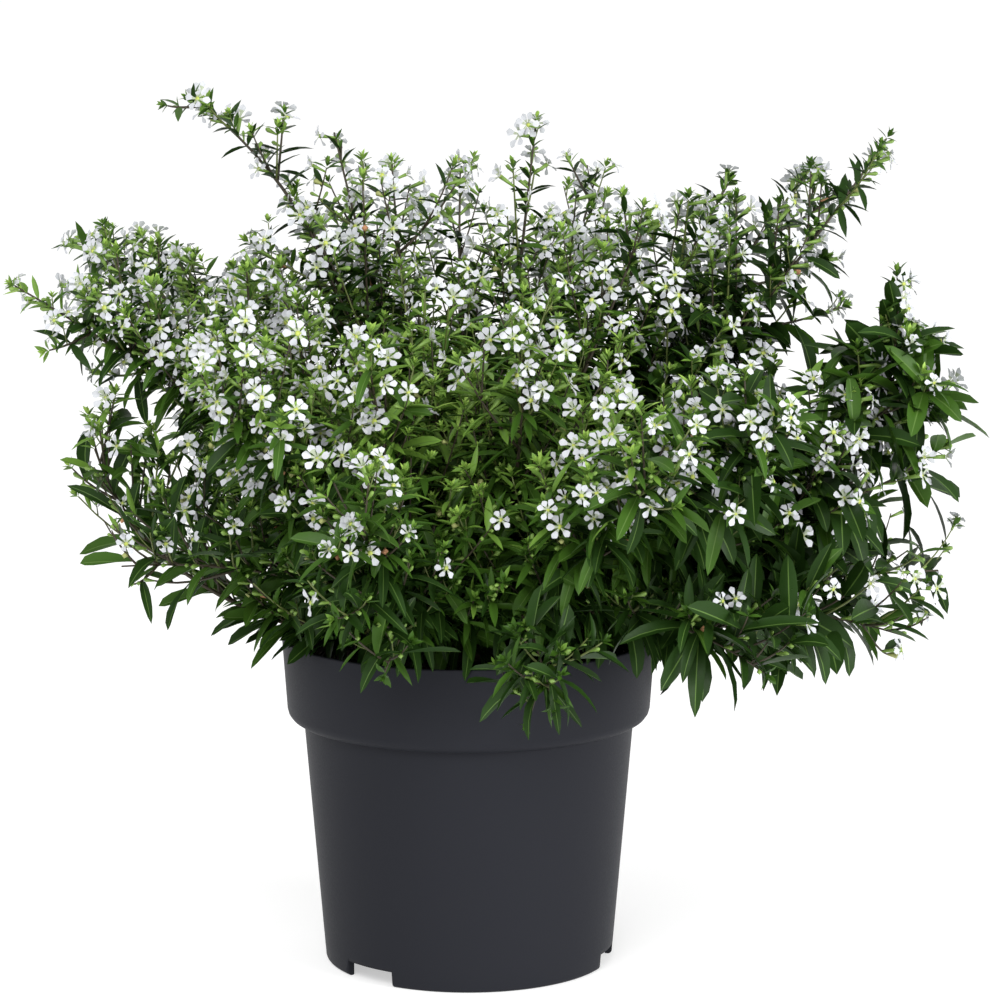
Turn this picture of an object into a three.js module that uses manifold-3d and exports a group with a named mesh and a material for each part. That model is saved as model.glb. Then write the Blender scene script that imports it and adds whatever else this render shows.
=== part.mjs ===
// A white-flowered false heather, Cuphea hyssopifolia, in a round nursery pot.
// Millimetres, +Z up. The origin is the middle of the pot's flat underside.
// The pot and its soil carry a short woody stem. Slim boughs spring from all round the stem, and
// each bough passes into a mass of foliage: a leading shoot with side shoots, leaves and blossom.

import * as THREE from 'three';
import * as BufferGeometryUtils from 'three/addons/utils/BufferGeometryUtils.js';
import Module from 'manifold-3d';

const wasm = await Module();
wasm.setup();

// Driving dimensions of the pot
const RIM_RADIUS = 65;
const RIM_EDGE_IN = 0.5;
const RIM_EDGE_DOWN = 0.6;
const POT_HEIGHT = 115;
const COLLAR_DEPTH = 29.4;
const COLLAR_FOOT_RADIUS = 62.9;
const COLLAR_ROUNDING = 4;
const BODY_TOP_RADIUS = 57.5;
const BASE_RADIUS = 50.2;
const BASE_EDGE_IN = 1.2;
const BASE_EDGE_UP = 1.4;
const WALL = 1.6;
const FLOOR_HEIGHT = 5.5;
const FOOT_WALL = 2.4;
const CENTRE_FOOT_RADIUS = 14;
const CENTRE_FOOT_DRAFT = 1;
const POT_SEGMENTS = 45;
const NOTCH_WIDTH = 21;
const NOTCH_DEPTH = 12;
const NOTCH_AZIMUTHS = [-133, -13, 107];
const DRAIN_RADIUS = 4;
const DRAIN_CIRCLE = 31;
const DRAIN_COUNT = 4;
const DRAIN_SIDES = 10;

// Soil and stem
const GAP = 0.3;
const SOIL_LEVEL = 106;
const SOIL_CROWN = 1.5;
const SOIL_SLOPE = 14;
const SOIL_SEGMENTS = 24;
const SOIL_CLEARANCE = 0.1;
const SOIL_COLLAR_CLEARANCE = 0.7;
const STEM_RADIUS = 5;
const STEM_FLARE = 3.2;
const STEM_FLARE_HEIGHT = 4;
const STEM_HEIGHT = 30;
const STEM_TOP_RADIUS = 3.4;
const STEM_LEAN = 1.5;
const STEM_SIDES = 12;
const STEM_RINGS = 7;
const STEM_RING_CROWDING = 1.4;

// Boughs
const SPRING_LOWEST = 4.5;
const SPRING_HIGHEST = 28;
const SPRING_APART = 4.2;
const SPRING_PASSES = 80;
const STEEPEST_LIFT = 76;
const BOUGH_ROOT_RADIUS = 1.45;
const BOUGH_TIP_RADIUS = 1.0;
const BOUGH_SHARE = 0.34;
const BOUGH_SIDES = 5;
const BOUGH_RINGS = 3;
const STEMLESS_ROOT_RADIUS = 1.05;
const SWAY = 7;

// Shoots
const TWIG_SIDES = 3;
const LEADER_RINGS = 5;
const LEADER_RADIUS = 1.4;
const LEADER_TIP_RADIUS = 0.6;
const SIDE_RINGS = 2;
const SIDE_RADIUS = 0.55;
const SIDE_TIP_RADIUS = 0.45;
const SIDE_SPACING = 28;
const SIDE_LEAST_COUNT = 3;
const SIDE_OPENING = [38, 62];
const SIDE_REACH = 62;
const SIDE_REACH_SPREAD = [0.75, 1.2];
const SIDE_REACH_LOSS = 0.7;
const SIDE_TRIES = [1, 0.8, 0.6, 0.45];
const SIDE_SHORTEST = 16;
const SIDE_KNEE_AT = 0.55;
const SIDE_TIP_AT = 0.92;
const SIDE_UPTURN = 0.22;
const SIDE_OVERREACH = 5;
const GOLDEN_ANGLE = 137.5;

// Leaves and blossom
const NODE_SPACING = 20;
const NODE_LAST_AT = 0.97;
const NODE_TWIST = 40;
const LEAF_LONGEST = 42;
const LEAF_SHORTEST = 19;
const LEAF_SHORTEST_OVER_SOIL = 190;
const LEAF_LENGTH_SPREAD = [0.85, 1.1];
const LEAF_LOSS_TO_TIP = 0.3;
const LEAF_FORWARD = 0.75;
const LEAF_DROOP = 0.25;
const LEAF_WIDTH_SHARE = 0.4;
const LEAF_THICKNESS_SHARE = 0.06;
const LEAF_BROADEST_AT = 0.42;
const BLOSSOM_RADIUS = 5.6;
const BLOSSOM_LENGTH = 9.5;
const BLOSSOM_MOUTH_AT = 0.86;
const BLOSSOM_PETALS = 6;
const BLOSSOM_CHANCE = 0.4;
const BLOSSOM_FROM = 0.45;
const BLOSSOM_FORWARD = 0.6;
const BLOSSOM_UPWARD = 40;

// Room that a shape keeps from its neighbours
const SPACE_MARGIN = 1.6;
const LIMB_MARGIN = 1.0;
const OWN_MARGIN = 0.6;
const RIM_MARGIN = 2;
const STEM_MARGIN = 3;
const SHORTEST_EDGE = 0.004;

// The leading shoots: name, azimuth from +X towards +Y, then the reach from the pot's axis and the
// height over the soil, first at the knee that the shoot bends towards, then at its tip.
const LEADERS = [
  ['left_arch_high', 172, 50, 174, 104, 197],
  ['left_arch_far', 196, 95, 98, 160, 137],
  ['left_upper', 170, 84, 122, 146, 144],
  ['left_rise', 196, 126, 14, 135, 102],
  ['top_left', 137, 42, 112, 67, 186],
  ['top_left_mid', 195, 24, 108, 27, 178],
  ['top_back', 93, 35, 110, 60, 170],
  ['top_centre', 34, 20, 112, 29, 192],
  ['top_right_mid', 52, 44, 112, 76, 170],
  ['top_right', 351, 42, 102, 63, 157],
  ['right_upper', 15, 61, 108, 96, 168],
  ['right_tall', 26, 87, 110, 137, 169],
  ['right_arch_high', 4, 100, 112, 148, 186],
  ['right_rise', 350, 160, 38, 146, 142],
  ['front_right', 313, 88, 48, 136, 90],
  ['front_right_mid', 295, 88, 42, 138, 84],
  ['front_centre', 282, 61, 58, 88, 119],
  ['front_left', 252, 62, 58, 100, 116],
  ['front_left_low', 256, 80, 30, 134, 70],
  ['front_left_out', 234, 78, 50, 135, 107],
  ['back_low_right', 48, 96, 34, 140, 74],
  ['back_high_right', 68, 74, 84, 116, 134],
  ['back_low', 90, 92, 36, 138, 80],
  ['back_high_left', 112, 76, 86, 112, 142],
  ['back_low_left', 136, 96, 32, 142, 72],
  ['left_low', 214, 80, 46, 136, 46],
  ['right_low', 6, 108, 30, 166, 28],
  ['right_skirt', 344, 96, 34, 154, 16],
  ['front_right_low', 316, 80, 40, 134, 14],
  ['front_low', 286, 64, 50, 102, 4],
  ['front_skirt', 254, 56, 40, 96, 14],
];

// From this leader on, the shoots have no bough and start at the stem themselves.
const STEMLESS_FROM = 'left_low';

const colours = {
  pot: new THREE.Color(0x2f3136),
  soil: new THREE.Color(0x1d1712),
  bark: new THREE.Color(0x3b2c20),
  foliage: new THREE.Color(0x35591f),
};

function finish(colour, roughness) {
  return new THREE.MeshStandardMaterial({ color: colour, roughness, metalness: 0 });
}

// Small helpers

// A seeded row of even draws from 0 to 1
function dice(seed) {
  let state = (seed * 7919 + 104729) % 2147483647;
  const draw = () => {
    state = (state * 48271) % 2147483647;
    return state / 2147483647;
  };
  draw();
  draw();
  return draw;
}

function radians(degrees) {
  return THREE.MathUtils.degToRad(degrees);
}

function mix(a, b, t) {
  return a + (b - a) * t;
}

function onCircle(azimuth, reach, height) {
  const angle = radians(azimuth);
  return new THREE.Vector3(Math.cos(angle) * reach, Math.sin(angle) * reach, height);
}

// Shared corners are merged and faces that shrank to a line are dropped.
function weld(geometry) {
  geometry.deleteAttribute('normal');
  geometry.deleteAttribute('uv');
  const merged = BufferGeometryUtils.mergeVertices(geometry, 1e-4);
  const kept = [];
  for (let i = 0; i < merged.index.count; i += 3) {
    const face = [0, 1, 2].map((k) => merged.index.getX(i + k));
    if (new Set(face).size === 3) kept.push(...face);
  }
  merged.setIndex(kept);
  return merged;
}

function solid(geometry) {
  const merged = weld(geometry);
  return new wasm.Manifold(new wasm.Mesh({
    numProp: 3,
    vertProperties: new Float32Array(merged.attributes.position.array),
    triVerts: new Uint32Array(merged.index.array),
  }));
}

function geometryOf(body) {
  const mesh = body.getMesh();
  const geometry = new THREE.BufferGeometry();
  geometry.setAttribute('position', new THREE.BufferAttribute(mesh.vertProperties, 3));
  geometry.setIndex(new THREE.BufferAttribute(mesh.triVerts, 1));
  return geometry;
}

function node(name, geometry, material) {
  const mesh = new THREE.Mesh(geometry, material);
  mesh.name = name;
  return mesh;
}

// A lathe turned about +Z from [radius, height] points
function turned(points, segments) {
  const profile = points.map(([radius, height]) => new THREE.Vector2(radius, height));
  return new THREE.LatheGeometry(profile, segments).rotateX(Math.PI / 2);
}

// Pot

function collarFootHeight() {
  return POT_HEIGHT - COLLAR_DEPTH;
}

// Outer radius of the wall below the collar
function bodyRadius(height) {
  return mix(BASE_RADIUS, BODY_TOP_RADIUS, height / collarFootHeight());
}

// Outer radius of the collar
function collarRadius(height) {
  return mix(COLLAR_FOOT_RADIUS, RIM_RADIUS, (height - collarFootHeight()) / COLLAR_DEPTH);
}

function potProfile() {
  const lip = collarFootHeight();
  const rounding = COLLAR_ROUNDING;
  return [
    [0, 0],
    [CENTRE_FOOT_RADIUS, 0],
    [CENTRE_FOOT_RADIUS + CENTRE_FOOT_DRAFT, FLOOR_HEIGHT],
    [BASE_RADIUS - FOOT_WALL, FLOOR_HEIGHT],
    [BASE_RADIUS - FOOT_WALL, 0],
    [BASE_RADIUS - BASE_EDGE_IN, 0],
    [BASE_RADIUS, BASE_EDGE_UP],
    [BODY_TOP_RADIUS, lip],
    [COLLAR_FOOT_RADIUS - rounding, lip],
    [COLLAR_FOOT_RADIUS - rounding * 0.3, lip + rounding * 0.3],
    [COLLAR_FOOT_RADIUS, lip + rounding],
    [RIM_RADIUS, POT_HEIGHT - RIM_EDGE_DOWN],
    [RIM_RADIUS - RIM_EDGE_IN, POT_HEIGHT],
    [RIM_RADIUS - WALL, POT_HEIGHT],
    [COLLAR_FOOT_RADIUS - WALL, lip + rounding],
    [BODY_TOP_RADIUS - WALL, lip + WALL],
    [bodyRadius(FLOOR_HEIGHT) - WALL, FLOOR_HEIGHT + WALL],
    [0, FLOOR_HEIGHT + WALL],
  ];
}

// The foot is notched and the floor has drain holes.
function potSolid() {
  let pot = solid(turned(potProfile(), POT_SEGMENTS));
  for (const azimuth of NOTCH_AZIMUTHS) {
    const notch = new THREE.BoxGeometry(NOTCH_DEPTH, NOTCH_WIDTH, 2 * FLOOR_HEIGHT);
    notch.translate(BASE_RADIUS, 0, 0);
    notch.rotateZ(radians(azimuth));
    pot = pot.subtract(solid(notch));
  }
  for (let i = 0; i < DRAIN_COUNT; i++) {
    const hole = new THREE.CylinderGeometry(DRAIN_RADIUS, DRAIN_RADIUS, 4 * WALL, DRAIN_SIDES);
    hole.rotateX(Math.PI / 2);
    hole.translate(DRAIN_CIRCLE, 0, FLOOR_HEIGHT + WALL / 2);
    hole.rotateZ(radians((i * 360) / DRAIN_COUNT));
    pot = pot.subtract(solid(hole));
  }
  return geometryOf(pot);
}

function soilSolid() {
  const lip = collarFootHeight();
  const floor = FLOOR_HEIGHT + WALL + GAP;
  const wallSide = WALL + GAP + SOIL_CLEARANCE;
  const collarSide = WALL + GAP + SOIL_COLLAR_CLEARANCE;
  const edge = collarRadius(SOIL_LEVEL) - collarSide;
  const profile = [
    [0, floor],
    [bodyRadius(floor) - wallSide, floor],
    [BODY_TOP_RADIUS - wallSide, lip + WALL],
    [COLLAR_FOOT_RADIUS - collarSide, lip + COLLAR_ROUNDING + SOIL_COLLAR_CLEARANCE],
    [edge, SOIL_LEVEL - 2 * SOIL_CROWN],
    [edge - SOIL_SLOPE, SOIL_LEVEL - SOIL_CROWN / 2],
    [STEM_RADIUS + 2 * STEM_FLARE, SOIL_LEVEL],
    [0, SOIL_LEVEL],
  ];
  return weld(turned(profile, SOIL_SEGMENTS));
}

// Stem

function stemRadius(height) {
  const flare = STEM_FLARE * Math.exp(-height / STEM_FLARE_HEIGHT);
  return mix(STEM_RADIUS, STEM_TOP_RADIUS, height / STEM_HEIGHT) + flare;
}

function stemMiddle(height) {
  return new THREE.Vector3((STEM_LEAN * height) / STEM_HEIGHT, 0, SOIL_LEVEL + GAP + height);
}

// The rings stand closer towards the foot, where the stem flares.
function stemSolid() {
  const geometry = new THREE.CylinderGeometry(1, 1, 1, STEM_SIDES, STEM_RINGS);
  geometry.rotateX(Math.PI / 2);
  const place = geometry.attributes.position;
  for (let i = 0; i < place.count; i++) {
    const share = place.getZ(i) + 0.5;
    const height = STEM_HEIGHT * share ** STEM_RING_CROWDING;
    const middle = stemMiddle(height);
    const radius = stemRadius(height);
    place.setXYZ(i, middle.x + place.getX(i) * radius, middle.y + place.getY(i) * radius, middle.z);
  }
  return weld(geometry);
}

// Limbs: each follows a curve of three points, root, knee and tip.

// A direction square to the plane that the curve bends in
function steadySide(curve) {
  const span = curve.v2.clone().sub(curve.v0);
  const side = curve.v1.clone().sub(curve.v0).cross(span);
  if (side.length() < 1) side.set(0.3, 1, 0.1).cross(span);
  return side.normalize();
}

// A cylinder bent along part of a curve, tapering from one radius to the other
function bentLimb(curve, from, to, fromRadius, toRadius, sides, rings) {
  const geometry = new THREE.CylinderGeometry(toRadius, fromRadius, 1, sides, rings);
  const side = steadySide(curve);
  const place = geometry.attributes.position;
  for (let i = 0; i < place.count; i++) {
    const t = mix(from, to, place.getY(i) + 0.5);
    const across = side.clone().cross(curve.getTangent(t));
    const point = curve.getPoint(t);
    point.addScaledVector(side, place.getX(i));
    point.addScaledVector(across, place.getZ(i));
    place.setXYZ(i, point.x, point.y, point.z);
  }
  return geometry;
}

// Flat leaders spring low on the stem and steep ones high. Those that spring too close together
// are pushed apart over the bark, pass after pass.
function placeSprings(leaders) {
  for (const leader of leaders) {
    const steepness = THREE.MathUtils.clamp(leader.lift / STEEPEST_LIFT, 0, 1);
    const height = mix(SPRING_LOWEST, SPRING_HIGHEST, steepness);
    leader.spring = { azimuth: leader.azimuth, height };
  }
  for (let pass = 0; pass < SPRING_PASSES; pass++) {
    for (let i = 0; i < leaders.length; i++) {
      for (let j = i + 1; j < leaders.length; j++) pushApart(leaders[i].spring, leaders[j].spring);
    }
  }
}

function pushApart(a, b) {
  const turn = ((b.azimuth - a.azimuth + 900) % 360) - 180;
  const across = radians(turn) * STEM_RADIUS;
  const up = b.height - a.height;
  const apart = Math.hypot(across, up);
  if (apart >= SPRING_APART) return;
  const push = (SPRING_APART - apart) / apart / 2;
  const swing = THREE.MathUtils.radToDeg((across * push) / STEM_RADIUS);
  a.azimuth -= swing;
  b.azimuth += swing;
  a.height = THREE.MathUtils.clamp(a.height - up * push, SPRING_LOWEST, SPRING_HIGHEST);
  b.height = THREE.MathUtils.clamp(b.height + up * push, SPRING_LOWEST, SPRING_HIGHEST);
}

// A root stands off the bark by the gap, measured at the lower edge of its tilted end face.
function rootOf(leader) {
  const { azimuth, height } = leader.spring;
  const lift = radians(Math.max(leader.lift, 0));
  const thickness = leader.share > 0 ? BOUGH_ROOT_RADIUS : STEMLESS_ROOT_RADIUS;
  const bark = stemRadius(height - thickness * Math.cos(lift));
  const reach = bark + GAP + thickness * Math.sin(lift);
  return onCircle(azimuth, reach, 0).add(stemMiddle(height));
}

function makeLeaders() {
  const stemlessFrom = LEADERS.findIndex(([name]) => name === STEMLESS_FROM);
  const leaders = LEADERS.map(([name, azimuth, kneeReach, kneeHeight, reach, height], index) => {
    const draw = dice(index + 1);
    const knee = onCircle(azimuth + SWAY * (2 * draw() - 1), kneeReach, SOIL_LEVEL + kneeHeight);
    const tip = onCircle(azimuth, reach, SOIL_LEVEL + height);
    const lift = THREE.MathUtils.radToDeg(Math.atan2(kneeHeight - STEM_HEIGHT / 2, kneeReach));
    const share = index < stemlessFrom ? BOUGH_SHARE : 0;
    return { name, index, azimuth, knee, tip, lift, share };
  });
  placeSprings(leaders);
  for (const leader of leaders) {
    leader.curve = new THREE.QuadraticBezierCurve3(rootOf(leader), leader.knee, leader.tip);
    leader.length = leader.curve.getLength();
    leader.boughPath = stations(leader.curve, 0, Math.max(leader.share, 0.02), 10);
    leader.massPath = stations(leader.curve, leader.share, 1, 12);
  }
  return leaders;
}

// Space: a point belongs to the mass whose leading shoot is nearest.

function stations(curve, from, to, count) {
  return Array.from({ length: count + 1 }, (_, i) => curve.getPoint(mix(from, to, i / count)));
}

// A point on the straight pieces between stations, where the middle of a faceted limb runs
function alongPath(path, share) {
  const place = share * (path.length - 1);
  const piece = Math.min(Math.floor(place), path.length - 2);
  return path[piece].clone().lerp(path[piece + 1], place - piece);
}

function distanceToPath(point, path) {
  let least = Infinity;
  const segment = new THREE.Line3();
  const nearest = new THREE.Vector3();
  for (let i = 1; i < path.length; i++) {
    segment.set(path[i - 1], path[i]);
    segment.closestPointToPoint(point, true, nearest);
    least = Math.min(least, nearest.distanceTo(point));
  }
  return least;
}

function inOwnSpace(point, own, leaders) {
  const limit = distanceToPath(point, own.massPath) + SPACE_MARGIN;
  return leaders.every((other) => other === own || distanceToPath(point, other.massPath) > limit);
}

function clearOfLimbs(point, leaders) {
  for (const leader of leaders) {
    if (leader.share === 0) continue;
    if (distanceToPath(point, leader.boughPath) < BOUGH_ROOT_RADIUS + LIMB_MARGIN) return false;
  }
  const reach = Math.hypot(point.x, point.y);
  const height = point.z - SOIL_LEVEL;
  const besideStem = height < STEM_HEIGHT + RIM_MARGIN;
  if (besideStem && reach < stemRadius(Math.max(height, 0)) + STEM_MARGIN) return false;
  const overRim = point.z > POT_HEIGHT + RIM_MARGIN;
  const outside = reach > RIM_RADIUS + RIM_MARGIN;
  const inside = reach < COLLAR_FOOT_RADIUS - 2 * WALL && height > LIMB_MARGIN;
  return overRim || outside || inside;
}

// A shape may stay when points all through it lie in its own space and clear of every limb.
function mayStay(points, own, leaders) {
  return points.every((p) => clearOfLimbs(p, leaders) && inOwnSpace(p, own, leaders));
}

// Within its mass a new leaf or blossom also keeps clear of the twigs, leaves and blossoms there.
function clearOfOwn(points, taken) {
  return points.every((p) => taken.every((t) => distanceToPath(p, t.path) > t.room + OWN_MARGIN));
}

// Leaves and blossom

// Turns a shape that lies along +X, with its face to +Z, to a direction and places its root.
function aim(geometry, root, direction, face) {
  const x = direction.clone().normalize();
  const y = face.clone().cross(x).normalize();
  const z = x.clone().cross(y);
  const turn = new THREE.Matrix4().makeBasis(x, y, z).setPosition(root);
  return geometry.applyMatrix4(turn);
}

// A spindle on a few sides, from its root to its tip, broadest in between
function spindle(sides, broadestAt, length, halfWidth, halfDepth) {
  const geometry = turned([[0, 0], [1, broadestAt], [0, 1]], sides);
  const place = geometry.attributes.position;
  for (let i = 0; i < place.count; i++) {
    const [across, depth, along] = [place.getX(i), place.getY(i), place.getZ(i)];
    place.setXYZ(i, along * length, across * halfWidth, depth * halfDepth);
  }
  return geometry;
}

// A flat blade with a keel below, facing the tip of its shoot
function leafGeometry(root, direction, face, length) {
  const halfWidth = (length * LEAF_WIDTH_SHARE) / Math.sqrt(3);
  const depth = (length * LEAF_THICKNESS_SHARE * 2) / 3;
  const blade = spindle(3, LEAF_BROADEST_AT, length, halfWidth, depth);
  return aim(blade, root, direction, face);
}

// Six petals open from a narrow tube whose foot is the root.
function blossomGeometry(root, direction) {
  const size = BLOSSOM_RADIUS;
  const blossom = spindle(BLOSSOM_PETALS, BLOSSOM_MOUTH_AT, BLOSSOM_LENGTH, size, size);
  return aim(blossom, root, direction, new THREE.Vector3(0.1, 0.1, 1));
}

// Points by which a leaf's room is tested, along its middle and at its edges
function leafPoints(root, direction, face, length) {
  const across = face.clone().cross(direction).normalize();
  const at = (along, sideways) => root.clone().addScaledVector(direction, along * length)
    .addScaledVector(across, (sideways * length * LEAF_WIDTH_SHARE) / 2);
  const widest = LEAF_BROADEST_AT;
  const edges = [at(widest, -1), at(widest, 1), at(0.7, -0.5), at(0.7, 0.5)];
  return [at(0.25, 0), at(widest, 0), ...edges, at(1, 0)];
}

// Points by which a blossom's room is tested, round the mouth of its tube
function blossomPoints(root, direction) {
  const middle = root.clone().addScaledVector(direction, BLOSSOM_LENGTH * BLOSSOM_MOUTH_AT);
  const across = new THREE.Vector3(0, 0, 1).cross(direction).normalize();
  const over = direction.clone().cross(across);
  const rim = (angle) => middle.clone().addScaledVector(across, BLOSSOM_RADIUS * Math.cos(angle))
    .addScaledVector(over, BLOSSOM_RADIUS * Math.sin(angle));
  return [middle, ...Array.from({ length: BLOSSOM_PETALS }, (_, k) => rim((k * Math.PI) / 3))];
}

// Shoots

// A side shoot reaches hardly further out or up than the tip of its leader.
function withinCrown(tip, own) {
  const reach = Math.hypot(tip.x, tip.y);
  const furthest = Math.hypot(own.tip.x, own.tip.y) + SIDE_OVERREACH;
  return reach < furthest && tip.z < own.tip.z + SIDE_OVERREACH;
}

// A shoot that leaves its root in a direction and turns upwards
function upturned(root, direction, length) {
  const knee = root.clone().addScaledVector(direction, SIDE_KNEE_AT * length);
  const tip = root.clone().addScaledVector(direction, SIDE_TIP_AT * length);
  tip.z += SIDE_UPTURN * length;
  return new THREE.QuadraticBezierCurve3(root, knee, tip);
}

// Side shoots leave the leader at an angle, spread round it by the golden angle. One that would
// leave its space is tried shorter, then left out.
function sideShoots(own, leaders) {
  const draw = dice(1000 + own.index);
  const span = (1 - own.share) * own.length;
  const count = Math.max(SIDE_LEAST_COUNT, Math.round(span / SIDE_SPACING));
  const side = steadySide(own.curve);
  const shoots = [];
  for (let k = 0; k < count; k++) {
    const place = (k + 0.35 + 0.3 * draw()) / count;
    const t = mix(own.share, 1, place * 0.94 + 0.02);
    const along = own.curve.getTangent(t);
    const across = side.clone().cross(along);
    const round = radians(k * GOLDEN_ANGLE + 360 * draw());
    const opening = radians(mix(...SIDE_OPENING, draw()));
    const direction = along.multiplyScalar(Math.cos(opening));
    direction.addScaledVector(side, Math.sin(opening) * Math.cos(round));
    direction.addScaledVector(across, Math.sin(opening) * Math.sin(round));
    const full = SIDE_REACH * (1 - SIDE_REACH_LOSS * place) * mix(...SIDE_REACH_SPREAD, draw());
    const root = alongPath(own.shootPath, (t - own.share) / (1 - own.share));
    for (const length of SIDE_TRIES.map((share) => full * share)) {
      if (length < SIDE_SHORTEST) break;
      const curve = upturned(root, direction, length);
      if (!withinCrown(curve.v2, own)) continue;
      if (!mayStay(stations(curve, 0.12, 1, 8), own, leaders)) continue;
      const path = stations(curve, 0, 1, SIDE_RINGS);
      shoots.push({ curve, path, from: 0, length, seed: 100 * own.index + k });
      break;
    }
  }
  return shoots;
}

// Leaves are long low on the plant and short at its top and at the tips of shoots.
function leafLength(point, share) {
  const height = THREE.MathUtils.clamp((point.z - SOIL_LEVEL) / LEAF_SHORTEST_OVER_SOIL, 0, 1);
  return mix(LEAF_LONGEST, LEAF_SHORTEST, height) * (1 - LEAF_LOSS_TO_TIP * share);
}

// Leaves stand in pairs, each pair turned a quarter from the last; blossom sits by the outer pairs.
function dress(shoot, own, leaders, mass) {
  const draw = dice(5000 + shoot.seed);
  const count = Math.max(2, Math.round(((1 - shoot.from) * shoot.length) / NODE_SPACING));
  const side = steadySide(shoot.curve);
  const add = (points, geometry, room) => {
    if (!mayStay(points, own, leaders) || !clearOfOwn(points, mass.taken)) return;
    mass.pieces.push(geometry);
    mass.taken.push({ path: [points[0], points[points.length - 1]], room });
  };
  for (let j = 0; j < count; j++) {
    const share = (j + 0.75) / count;
    const place = Math.min(share, NODE_LAST_AT);
    const along = shoot.curve.getTangent(mix(shoot.from, 1, place));
    const across = side.clone().cross(along);
    const turn = radians(90 * j + NODE_TWIST * draw());
    const root = alongPath(shoot.path, place);
    if (share > BLOSSOM_FROM && draw() < BLOSSOM_CHANCE) {
      const outward = new THREE.Vector3(root.x, root.y, BLOSSOM_UPWARD).normalize();
      const direction = along.clone().multiplyScalar(BLOSSOM_FORWARD).add(outward).normalize();
      const points = blossomPoints(root, direction);
      add(points, blossomGeometry(root, direction), BLOSSOM_RADIUS / 2);
    }
    for (const sign of [-1, 1]) {
      const direction = along.clone().multiplyScalar(LEAF_FORWARD);
      direction.addScaledVector(side, sign * Math.cos(turn));
      direction.addScaledVector(across, sign * Math.sin(turn));
      direction.z -= LEAF_DROOP * (1 - share);
      direction.normalize();
      const length = leafLength(root, share) * mix(...LEAF_LENGTH_SPREAD, draw());
      const points = leafPoints(root, direction, along, length);
      add(points, leafGeometry(root, direction, along, length), (length * LEAF_WIDTH_SHARE) / 3);
    }
  }
}

function shortestEdge(body) {
  const { vertProperties, triVerts } = body.getMesh();
  const corner = (i) => new THREE.Vector3().fromArray(vertProperties, 3 * triVerts[i]);
  let shortest = Infinity;
  for (let i = 0; i < triVerts.length; i++) {
    const next = i % 3 === 2 ? i - 2 : i + 1;
    shortest = Math.min(shortest, corner(i).distanceTo(corner(next)));
  }
  return shortest;
}

// Pieces are joined one by one. One that would hang loose or leave a sliver at its root is skipped.
function fuse(pieces) {
  return pieces.reduce((whole, piece) => {
    const joined = whole.add(piece);
    const sound = joined.decompose().length === 1 && shortestEdge(joined) > SHORTEST_EDGE;
    return sound ? joined : whole;
  });
}

// The leading shoot starts clear of its bough's tip, or at the stem where it has no bough.
function massSolid(own, leaders) {
  const from = own.share + (own.share > 0 ? GAP / own.length : 0);
  own.shootPath = stations(own.curve, from, 1, LEADER_RINGS);
  const leader = { curve: own.curve, path: own.shootPath, from, length: own.length, seed: own.index };
  const shoots = sideShoots(own, leaders);
  const mass = { pieces: [], taken: [] };
  const leaderSize = [LEADER_RADIUS, LEADER_TIP_RADIUS, TWIG_SIDES, LEADER_RINGS];
  const sideSize = [SIDE_RADIUS, SIDE_TIP_RADIUS, TWIG_SIDES, SIDE_RINGS];
  mass.pieces.push(bentLimb(own.curve, from, 1, ...leaderSize));
  mass.pieces.push(...shoots.map((shoot) => bentLimb(shoot.curve, 0, 1, ...sideSize)));
  mass.taken.push(...[leader, ...shoots].map((shoot) => ({ path: shoot.path, room: SIDE_RADIUS })));
  for (const shoot of [leader, ...shoots]) dress(shoot, own, leaders, mass);
  return geometryOf(fuse(mass.pieces.map(solid)));
}

function boughSolid(leader) {
  const size = [BOUGH_ROOT_RADIUS, BOUGH_TIP_RADIUS, BOUGH_SIDES, BOUGH_RINGS];
  return weld(bentLimb(leader.curve, 0, leader.share, ...size));
}

// Assembly

const plant = new THREE.Group();
plant.add(node('pot', potSolid(), finish(colours.pot, 0.55)));
plant.add(node('soil', soilSolid(), finish(colours.soil, 0.95)));
plant.add(node('trunk', stemSolid(), finish(colours.bark, 0.9)));

const leaders = makeLeaders();
for (const leader of leaders) {
  if (leader.share > 0) {
    plant.add(node(`bough_${leader.name}`, boughSolid(leader), finish(colours.bark, 0.9)));
  }
  const foliage = massSolid(leader, leaders);
  plant.add(node(`foliage_${leader.name}`, foliage, finish(colours.foliage, 0.8)));
}

export default plant;
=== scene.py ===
# %% [markdown]
# # A potted false heather
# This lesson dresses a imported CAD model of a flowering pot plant. The model already has the true
# sizes: a round nursery pot, its soil, a short woody stem, slim boughs and one coarse solid for
# each mass of foliage. Here the same growing rule is written again and carried on to finer twigs,
# thousands of small leaves and more than a thousand white flowers.
# Everything is in metres, in the model's own frame, so nothing has to be fitted afterwards.

# %% Load the frame
import math

import bmesh
import bpy
import numpy as np
from mathutils import Matrix, Vector, noise


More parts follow.
